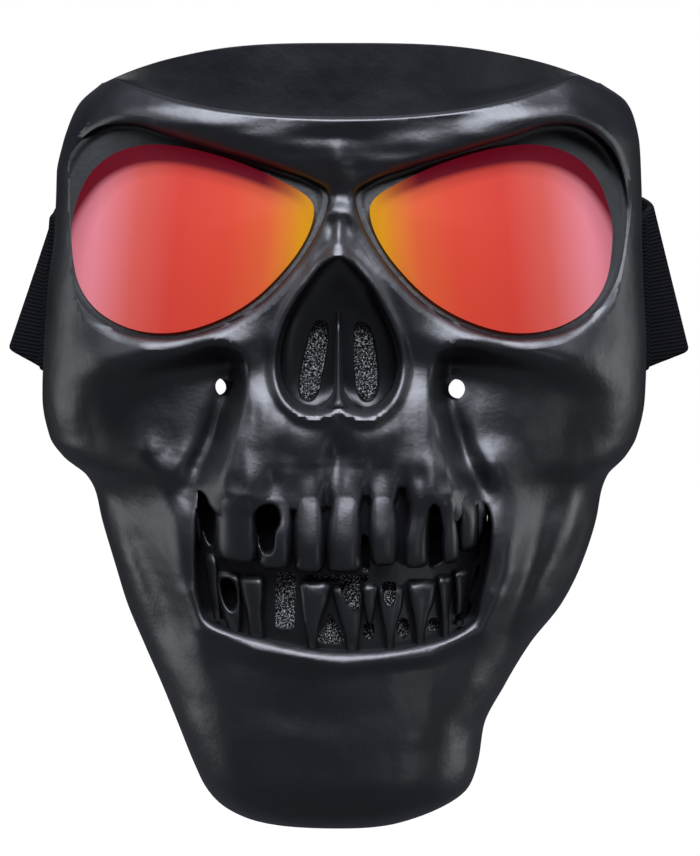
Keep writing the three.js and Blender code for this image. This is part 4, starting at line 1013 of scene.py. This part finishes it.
def open_curve(points, steps):
    """Even steps along a smooth curve whose bends depend on the spacing of its points."""
    p = np.array(points, float)
    p = np.vstack([2 * p[0] - p[1], p, 2 * p[-1] - p[-2]])
    found = []
    last = len(p) - 3
    for t in np.linspace(0, last, steps + 1):
        i = min(int(t), last - 1)
        local = t - i
        a, b, c, d = p[i:i + 4]
        ab, bc, cd = (max(np.linalg.norm(v) ** 0.5, 1e-6) for v in (b - a, c - b, d - c))
        out = (b - a) / ab - (c - a) / (ab + bc) + (c - b) / bc
        into = (c - b) / bc - (d - b) / (bc + cd) + (d - c) / cd
        out, into = out * bc, into * bc
        found.append(b + out * local + (3 * (c - b) - 2 * out - into) * local ** 2
                     + (2 * (b - c) + out + into) * local ** 3)
    return np.array(found)


STRAP_STEPS = 420
upper, lower = (open_curve(strap_edge(-1, edge) + strap_edge(1, edge)[:-1][::-1], STRAP_STEPS)
                for edge in (1, -1))


def strap_solid():
    rings = []
    shares = [0.0, 0.006, 0.02, 0.06, 0.12, 0.2, 0.3, 0.4, 0.5, 0.6, 0.7, 0.8, 0.88, 0.94, 0.98, 0.994, 1.0]
    middle = (upper + lower) / 2
    along = np.gradient(middle, axis=0)
    for k in range(STRAP_STEPS + 1):
        side = np.array([along[k][1], -along[k][0], 0])
        side /= np.linalg.norm(side)
        ring = []
        for sign, order in ((1, shares), (-1, shares[::-1])):
            for s in order:
                edge = min(s, 1 - s)
                thick = STRAP_THICKNESS / 2 * (0.3 + 0.7 * min(1.0, edge / 0.02) ** 0.5)
                place = upper[k] * (1 - s) + lower[k] * s
                ring.append(tuple(place + side * thick * sign))
        rings.append(ring)
    return ring_solid(rings)


strap = solid_object("elastic_strap", *strap_solid())
strap.data.set_sharp_from_angle(angle=math.radians(60))
print("strap faces", len(strap.data.polygons))


# %% [markdown]
# The folded ends of the strap are held by two rows of stitches. Every stitch is a small bent bar set along a
# line, so one tree of geometry nodes makes all of them from four short lines. It takes the spacing and the
# thickness as named inputs, and a person who wants coarser thread only changes a number.

# %% Nodes that set stitches along lines
def link(tree, source, output, target, entry):
    tree.links.new(source.outputs[output], target.inputs[entry])


def add_node(tree, kind, **values):
    node = tree.nodes.new(kind)
    for key, value in values.items():
        setattr(node, key, value)
    return node


def stitch_tree():
    tree = bpy.data.node_groups.new("stitches", "GeometryNodeTree")
    tree.interface.new_socket("Geometry", in_out="INPUT", socket_type="NodeSocketGeometry")
    for name, default in (("Spacing", 0.0028), ("Length", 0.0020), ("Thickness", 0.0007)):
        socket = tree.interface.new_socket(name, in_out="INPUT", socket_type="NodeSocketFloat")
        socket.default_value = default
    tree.interface.new_socket("Material", in_out="INPUT", socket_type="NodeSocketMaterial")
    tree.interface.new_socket("Geometry", in_out="OUTPUT", socket_type="NodeSocketGeometry")
    source, target = add_node(tree, "NodeGroupInput"), add_node(tree, "NodeGroupOutput")
    points = add_node(tree, "GeometryNodeCurveToPoints", mode="LENGTH")
    bar = add_node(tree, "GeometryNodeMeshCylinder")
    bar.inputs["Vertices"].default_value = 6
    bar.inputs["Side Segments"].default_value = 3
    swell = add_node(tree, "GeometryNodeSetShadeSmooth")
    copies = add_node(tree, "GeometryNodeInstanceOnPoints")
    whole = add_node(tree, "GeometryNodeRealizeInstances")
    paint = add_node(tree, "GeometryNodeSetMaterial")
    curve = add_node(tree, "GeometryNodeMeshToCurve")
    link(tree, source, "Geometry", curve, "Mesh")
    link(tree, curve, "Curve", points, "Curve")
    link(tree, source, "Spacing", points, "Length")
    link(tree, source, "Length", bar, "Depth")
    link(tree, source, "Thickness", bar, "Radius")
    link(tree, bar, "Mesh", swell, "Geometry")
    link(tree, swell, "Geometry", copies, "Instance")
    link(tree, points, "Points", copies, "Points")
    link(tree, points, "Rotation", copies, "Rotation")
    link(tree, copies, "Instances", whole, "Geometry")
    link(tree, whole, "Geometry", paint, "Geometry")
    link(tree, source, "Material", paint, "Material")
    link(tree, paint, "Geometry", target, "Geometry")
    return tree


# %% Node helpers for materials
def new_material(name, **constants):
    material = bpy.data.materials.new(name)
    material.use_nodes = True
    shader = material.node_tree.nodes["Principled BSDF"]
    for key, value in constants.items():
        shader.inputs[key.replace("_", " ")].default_value = value
    return material, material.node_tree, shader


def enter(tree, node, places):
    """Each entry is a number, a colour or another node's output."""
    for place, entry in places:
        if isinstance(entry, bpy.types.NodeSocket):
            tree.links.new(entry, node.inputs[place])
        else:
            node.inputs[place].default_value = entry


def calc(tree, operation, *entries):
    node = add_node(tree, "ShaderNodeMath", operation=operation)
    enter(tree, node, enumerate(entries))
    return node.outputs[0]


def mix(tree, share, first, second, blend="MIX"):
    node = add_node(tree, "ShaderNodeMix", data_type="RGBA", blend_type=blend)
    enter(tree, node, ((0, share), (6, first), (7, second)))
    return node.outputs[2]


def object_place(tree):
    place = add_node(tree, "ShaderNodeTexCoord")
    parts = add_node(tree, "ShaderNodeSeparateXYZ")
    link(tree, place, "Object", parts, "Vector")
    return place, parts


def colour_ramp(tree, stops):
    ramp = add_node(tree, "ShaderNodeValToRGB")
    while len(ramp.color_ramp.elements) < len(stops):
        ramp.color_ramp.elements.new(0.5)
    for element, (place, colour) in zip(ramp.color_ramp.elements, stops):
        element.position = place
        element.color = (*colour, 1.0) if isinstance(colour, tuple) else (colour, colour, colour, 1.0)
    return ramp


# %% [markdown]
# Moulded plastic, webbing and thread show fine grain, the plastic a little dust, and most finishes soft clouds
# in their colour or gloss. One shader group makes grain, clouds and dust from the piece's own coordinates, with
# the grain size and the cloud size as inputs, and each material sets its own values.

# %% Shared grain and dust
def grain_group():
    tree = bpy.data.node_groups.new("grain_and_dust", "ShaderNodeTree")
    for name, default in (("Grain Size", 0.0008), ("Cloud Size", 0.03)):
        socket = tree.interface.new_socket(name, in_out="INPUT", socket_type="NodeSocketFloat")
        socket.default_value = default
    for name in ("Height", "Clouds", "Dust"):
        tree.interface.new_socket(name, in_out="OUTPUT", socket_type="NodeSocketFloat")
    source, target = add_node(tree, "NodeGroupInput"), add_node(tree, "NodeGroupOutput")
    place = add_node(tree, "ShaderNodeTexCoord")
    results = []
    for size, detail in (("Grain Size", 2.0), ("Cloud Size", 4.0)):
        cloud = add_node(tree, "ShaderNodeTexNoise")
        cloud.inputs["Detail"].default_value = detail
        link(tree, place, "Object", cloud, "Vector")
        tree.links.new(calc(tree, "DIVIDE", 1.0, source.outputs[size]), cloud.inputs["Scale"])
        results.append(cloud)
    speck = add_node(tree, "ShaderNodeTexVoronoi")
    speck.inputs["Scale"].default_value = 190.0
    link(tree, place, "Object", speck, "Vector")
    dots = colour_ramp(tree, [(0.0, 1.0), (0.075, 0.0)])
    link(tree, speck, "Distance", dots, "Fac")
    sparse = colour_ramp(tree, [(0.5, 0.0), (0.72, 1.0)])
    link(tree, results[1], "Fac", sparse, "Fac")
    link(tree, results[0], "Fac", target, "Height")
    link(tree, results[1], "Fac", target, "Clouds")
    dust = calc(tree, "MULTIPLY", dots.outputs["Color"], sparse.outputs["Color"])
    tree.links.new(dust, target.inputs["Dust"])
    return tree


grain = grain_group()


def use_grain(tree, grain_size, cloud_size):
    node = add_node(tree, "ShaderNodeGroup", node_tree=grain)
    node.inputs["Grain Size"].default_value = grain_size
    node.inputs["Cloud Size"].default_value = cloud_size
    return node


def add_bump(tree, shader, source, output, distance, before=None):
    bump = add_node(tree, "ShaderNodeBump")
    bump.inputs["Distance"].default_value = distance
    bump.inputs["Strength"].default_value = 1.0
    link(tree, source, output, bump, "Height")
    if before:
        link(tree, before, "Normal", bump, "Normal")
    link(tree, bump, "Normal", shader, "Normal")
    return bump


# %% Black moulded plastic
def plastic_material():
    material, tree, shader = new_material("moulded_plastic", IOR=1.5, Specular_IOR_Level=0.75)
    fine = use_grain(tree, 0.0011, 0.028)
    base = colour_ramp(tree, [(0.30, (0.0024, 0.0024, 0.0034)), (0.72, (0.0046, 0.0047, 0.0064))])
    link(tree, fine, "Clouds", base, "Fac")
    dusty = mix(tree, fine.outputs["Dust"], base.outputs["Color"], (0.03, 0.03, 0.035, 1))
    tree.links.new(dusty, shader.inputs["Base Color"])
    gloss = colour_ramp(tree, [(0.28, 0.34), (0.75, 0.44)])
    link(tree, fine, "Clouds", gloss, "Fac")
    link(tree, gloss, "Color", shader, "Roughness")
    soft = add_node(tree, "ShaderNodeTexNoise")
    soft.inputs["Scale"].default_value = 75.0
    soft.inputs["Detail"].default_value = 3.0
    place = add_node(tree, "ShaderNodeTexCoord")
    link(tree, place, "Object", soft, "Vector")
    first = add_bump(tree, shader, soft, "Fac", 0.0005)
    add_bump(tree, shader, fine, "Height", 0.00005, before=first)
    return material


# %% Mirror coating shown as a painted glow
def lens_material(name, side):
    """Yellow at the nose, then orange, red and pink outwards, shown as a painted glow, and darker towards the
    rim with painted shade, most at the top.
    """
    # Painted glow: the coating's colours are given off as light, standing in for the mirror's reflection of the
    # studio lights.
    material, tree, shader = new_material(name, Specular_IOR_Level=0.04, Emission_Strength=0.67)
    _, parts = object_place(tree)
    across = add_node(tree, "ShaderNodeMapRange")
    across.inputs["From Min"].default_value = side * 0.0086
    across.inputs["From Max"].default_value = side * 0.0844
    drift = calc(tree, "MULTIPLY_ADD", parts.outputs["Z"], side * 0.10, parts.outputs["X"])
    tree.links.new(drift, across.inputs["Value"])
    # The pink outer end of these colours is both the coating's own colour and a painted highlight.
    tint = colour_ramp(tree, [
        (0.0, (0.84, 0.40, 0.010)), (0.05, (0.88, 0.36, 0.015)), (0.11, (0.86, 0.24, 0.036)),
        (0.19, (0.84, 0.13, 0.048)), (0.34, (0.81, 0.080, 0.046)), (0.55, (0.77, 0.068, 0.048)),
        (0.72, (0.79, 0.13, 0.11)), (0.88, (0.90, 0.27, 0.33)), (1.0, (0.84, 0.25, 0.33)),
    ])
    link(tree, across, "Result", tint, "Fac")
    # Painted shade and painted reflection of the dark shell on the rim: the share of the way to the rim is
    # raised towards the top, where the brow shades the lens, and the darkening is weakened near the nose corner.
    away = add_node(tree, "ShaderNodeAttribute", attribute_name="edge")
    painted_rim_shade_reach = calc(tree, "MULTIPLY_ADD", parts.outputs["Z"], 9.0, away.outputs["Fac"])
    rim = colour_ramp(tree, [(0.0, 0.0), (0.76, 0.0), (0.91, 0.30), (0.99, 1.0)])
    tree.links.new(painted_rim_shade_reach, rim.inputs["Fac"])
    corner = colour_ramp(tree, [(0.02, 0.15), (0.22, 1.0)])
    link(tree, across, "Result", corner, "Fac")
    shade = calc(tree, "MULTIPLY", rim.outputs["Color"], corner.outputs["Color"])
    # dark is the coating's colour with the painted rim shade, and it feeds both the base colour and the painted
    # glow.
    dark = mix(tree, shade, tint.outputs["Color"], (0.15, 0.004, 0.014, 1))
    tree.links.new(mix(tree, 1.0, dark, (0.12, 0.12, 0.12, 1), "MULTIPLY"), shader.inputs["Base Color"])
    tree.links.new(dark, shader.inputs["Emission Color"])
    fine = use_grain(tree, 0.0016, 0.02)
    gloss = colour_ramp(tree, [(0.3, 0.50), (0.75, 0.60)])
    link(tree, fine, "Clouds", gloss, "Fac")
    link(tree, gloss, "Color", shader, "Roughness")
    return material


# %% Speckled foam
# Painted shade: the front of the mouth's foam is painted near black at its sides and behind the upper teeth,
# where it lies in shadow.
PAINTED_SHADE_BESIDE, PAINTED_SHADE_ABOVE, MOUTH_BELOW = 0.0312, -0.1075, -0.07


def foam_material():
    material, tree, shader = new_material("speckled_foam", Roughness=0.95, Specular_IOR_Level=0.2)
    place, parts = object_place(tree)
    cells = add_node(tree, "ShaderNodeTexNoise")
    cells.inputs["Scale"].default_value = 2300.0
    cells.inputs["Detail"].default_value = 2.0
    link(tree, place, "Object", cells, "Vector")
    tint = colour_ramp(tree, [
        (0.47, (0.012, 0.012, 0.014)), (0.55, (0.10, 0.10, 0.10)), (0.64, (0.85, 0.85, 0.83)),
    ])
    link(tree, cells, "Fac", tint, "Fac")
    aside = calc(tree, "GREATER_THAN", calc(tree, "ABSOLUTE", parts.outputs["X"]), PAINTED_SHADE_BESIDE)
    above = calc(tree, "GREATER_THAN", parts.outputs["Z"], PAINTED_SHADE_ABOVE)
    mouth = calc(tree, "LESS_THAN", parts.outputs["Z"], MOUTH_BELOW)
    front = add_node(tree, "ShaderNodeAttribute", attribute_name="front")
    mouth_front = calc(tree, "MULTIPLY", mouth, front.outputs["Fac"])
    painted_shade = calc(tree, "MULTIPLY", calc(tree, "MAXIMUM", aside, above), mouth_front)
    # Painted shade: the foam turns near black where it lies in shadow.
    shaded = mix(tree, painted_shade, tint.outputs["Color"], (0.004, 0.004, 0.005, 1))
    tree.links.new(shaded, shader.inputs["Base Color"])
    add_bump(tree, shader, cells, "Fac", 0.0006)
    return material


# %% Woven elastic
def strap_material():
    material, tree, shader = new_material("woven_elastic", Roughness=0.9, Specular_IOR_Level=0.06)
    place = add_node(tree, "ShaderNodeTexCoord")
    ribs = add_node(tree, "ShaderNodeTexWave", wave_type="BANDS", bands_direction="Z")
    ribs.inputs["Scale"].default_value = 260.0
    ribs.inputs["Distortion"].default_value = 0.6
    ribs.inputs["Detail"].default_value = 2.0
    link(tree, place, "Object", ribs, "Vector")
    fine = use_grain(tree, 0.0007, 0.02)
    tint = colour_ramp(tree, [(0.2, (0.0022, 0.0022, 0.0032)), (0.9, (0.0055, 0.0055, 0.0075))])
    link(tree, ribs, "Fac", tint, "Fac")
    link(tree, tint, "Color", shader, "Base Color")
    first = add_bump(tree, shader, ribs, "Fac", 0.0002)
    add_bump(tree, shader, fine, "Height", 0.0001, before=first)
    return material


def clouded_material(name, grain_size, dark, light, smooth_part, rough_part):
    """A plain finish with soft clouds in its colour and in its gloss."""
    material, tree, shader = new_material(name)
    fine = use_grain(tree, grain_size, 0.012)
    tint = colour_ramp(tree, [(0.3, dark), (0.7, light)])
    gloss = colour_ramp(tree, [(0.3, smooth_part), (0.7, rough_part)])
    link(tree, fine, "Clouds", tint, "Fac")
    link(tree, fine, "Clouds", gloss, "Fac")
    link(tree, tint, "Color", shader, "Base Color")
    link(tree, gloss, "Color", shader, "Roughness")
    add_bump(tree, shader, fine, "Height", 0.00004)
    return material


smoked = clouded_material("smoked_lens_back", 0.002, (0.008, 0.005, 0.006), (0.018, 0.012, 0.016), 0.10, 0.20)
plastic = plastic_material()
glowing_lens_coatings = [lens_material("glowing_mirror_coating_left", -1), lens_material("glowing_mirror_coating_right", 1)]
foam = foam_material()
elastic = strap_material()
print("materials", len(bpy.data.materials))


# %% Finish the pieces
def store_edge_shares(lens):
    """How near each point of a lens lies to its rim, 1 at the rim."""
    values = [share for share in RING_SHARES + RING_SHARES[::-1] for _ in LENS_CURVES[0]]
    lens.data.attributes.new("edge", "FLOAT", "POINT").data.foreach_set("value", values)


def finish_piece(piece, material, node):
    piece.data.materials.clear()
    piece.data.materials.append(material)
    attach(piece, "root")
    if node:
        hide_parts(node)


for lens in lenses:
    store_edge_shares(lens)
finish_piece(shell, plastic, "skull_shell")
finish_piece(lenses[0], glowing_lens_coatings[0], "lens_left")
finish_piece(lenses[1], glowing_lens_coatings[1], "lens_right")
for lens in lenses:
    lens.data.materials.append(smoked)
    for face in lens.data.polygons:
        face.material_index = 1 if face.normal.y > 0.2 else 0
finish_piece(nose_foam, foam, "nose_filter")
finish_piece(mouth_foam, foam, "mouth_filter")
finish_piece(strap, elastic, "head_strap")


# %% Stitches on the folded ends
NEAR_STITCH, FAR_STITCH = 6, 14


def stitch_lines():
    """Two upright rows on each folded end, on the side that shows from within."""
    points, edges = [], []
    middle = (upper + lower) / 2
    along = np.gradient(middle, axis=0)
    for from_end in (NEAR_STITCH, FAR_STITCH, STRAP_STEPS - NEAR_STITCH, STRAP_STEPS - FAR_STITCH):
        side = np.array([along[from_end][1], -along[from_end][0], 0])
        side /= np.linalg.norm(side)
        for sign in (1, -1):
            start = len(points)
            for s in np.linspace(0.08, 0.92, 24):
                place = (upper[from_end] * (1 - s) + lower[from_end] * s
                         + sign * side * (STRAP_THICKNESS / 2 + 0.15))
                points.append(tuple(place * MM))
            edges += [(i, i + 1) for i in range(start, len(points) - 1)]
    return points, edges


thread = clouded_material("thread", 0.0004, (0.010, 0.010, 0.013), (0.030, 0.030, 0.036), 0.6, 0.8)
lines = bpy.data.meshes.new("stitch_lines")
points, edges = stitch_lines()
lines.from_pydata(points, edges, [])
stitches = bpy.data.objects.new("strap_stitches", lines)
bpy.context.scene.collection.objects.link(stitches)
maker = stitches.modifiers.new("make", "NODES")
tree = stitch_tree()
maker.node_group = tree
inputs = {item.name: item.identifier for item in tree.interface.items_tree if item.in_out == "INPUT"}
maker[inputs["Spacing"]] = 0.0030
maker[inputs["Length"]] = 0.0021
maker[inputs["Thickness"]] = 0.0004
maker[inputs["Material"]] = thread
bpy.context.view_layer.update()
made = bpy.data.meshes.new_from_object(stitches.evaluated_get(bpy.context.evaluated_depsgraph_get()))
stitches.modifiers.clear()
stitches.data = made
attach(stitches, "root")
print("stitch faces", len(made.polygons))

# %% [markdown]
# The photograph was taken head on, from slightly above, with soft light from all round and a strong one from
# above. Highlights on black plastic are reflections of the lights, so the size and place of each light matter
# more than its power: a wide one above draws the soft bright tops of the forms, and tall dim ones at the
# sides draw the pale lines down the cheeks.

# %% Camera
TILT = math.radians(6)
forward = Vector((0, math.cos(TILT), -math.sin(TILT)))
upward = Vector((0, math.sin(TILT), math.cos(TILT)))
DISTANCE = 1.6
FRAME_HEIGHT = 856 * 0.31 * MM
camera_data = bpy.data.cameras.new("camera")
camera = bpy.data.objects.new("camera", camera_data)
bpy.context.scene.collection.objects.link(camera)
aim = Vector((2.5 * MM, 0, 0)) - upward * 66 * MM
camera.location = aim - forward * DISTANCE
camera.rotation_euler = forward.to_track_quat("-Z", "Y").to_euler()
camera_data.sensor_width = 36
camera_data.lens = 36 * DISTANCE / FRAME_HEIGHT
camera_data.clip_end = 60
bpy.context.scene.camera = camera
print("focal length, mm:", round(camera_data.lens, 1))


# %% Lights
LIGHT_TARGET = Vector((0, 0, -0.06))


def area_light(name, place, size, power, colour):
    data = bpy.data.lights.new(name, "AREA")
    data.shape = "RECTANGLE"
    data.size, data.size_y = size
    data.energy = power
    data.color = colour
    light = bpy.data.objects.new(name, data)
    bpy.context.scene.collection.objects.link(light)
    light.location = place
    light.rotation_euler = (LIGHT_TARGET - Vector(place)).to_track_quat("-Z", "Y").to_euler()


area_light("top_light", (0, -0.25, 1.35), (1.9, 0.9), 56, (0.84, 0.88, 1.0))
area_light("high_light", (0, -1.25, 1.45), (1.8, 1.2), 57, (0.84, 0.88, 1.0))
area_light("left_light", (-1.20, 0.25, -0.28), (0.55, 1.1), 4.2, (0.90, 0.95, 1.0))
area_light("right_light", (1.20, 0.25, -0.28), (0.55, 1.1), 4.8, (0.90, 0.95, 1.0))
area_light("left_high_light", (-1.30, -0.45, 0.70), (0.5, 0.8), 2.5, (0.84, 0.90, 1.0))
area_light("right_high_light", (1.30, -0.45, 0.70), (0.5, 0.8), 2.5, (0.84, 0.90, 1.0))
area_light("low_light", (1.0, -1.2, -0.55), (0.4, 0.7), 2.5, (0.90, 0.95, 1.0))

# %% Floor and surroundings
floor_data = bpy.data.meshes.new("floor")
FLOOR_SIZE, FLOOR_HEIGHT = 30.0, -0.45
floor_data.from_pydata([(x, y, FLOOR_HEIGHT) for x, y in ((-FLOOR_SIZE, -FLOOR_SIZE), (FLOOR_SIZE, -FLOOR_SIZE),
                                                           (FLOOR_SIZE, FLOOR_SIZE),
                                                           (-FLOOR_SIZE, FLOOR_SIZE))],
                       [], [(0, 1, 2, 3)])
floor = bpy.data.objects.new("floor", floor_data)
bpy.context.scene.collection.objects.link(floor)
pale, tree, shader = new_material("pale_floor", Base_Color=(0.06, 0.06, 0.066, 1), Roughness=0.9,
                                  Emission_Color=(1, 1, 1, 1))
path = add_node(tree, "ShaderNodeLightPath")
link(tree, path, "Is Camera Ray", shader, "Emission Strength")
floor_data.materials.append(pale)

world = bpy.data.worlds.new("studio")
world.use_nodes = True
bpy.context.scene.world = world
tree = world.node_tree
background = tree.nodes["Background"]
path = add_node(tree, "ShaderNodeLightPath")
seen = mix(tree, path.outputs["Is Camera Ray"], (0.016, 0.017, 0.022, 1), (1, 1, 1, 1))
tree.links.new(seen, background.inputs["Color"])
bpy.context.scene.view_settings.view_transform = "Standard"
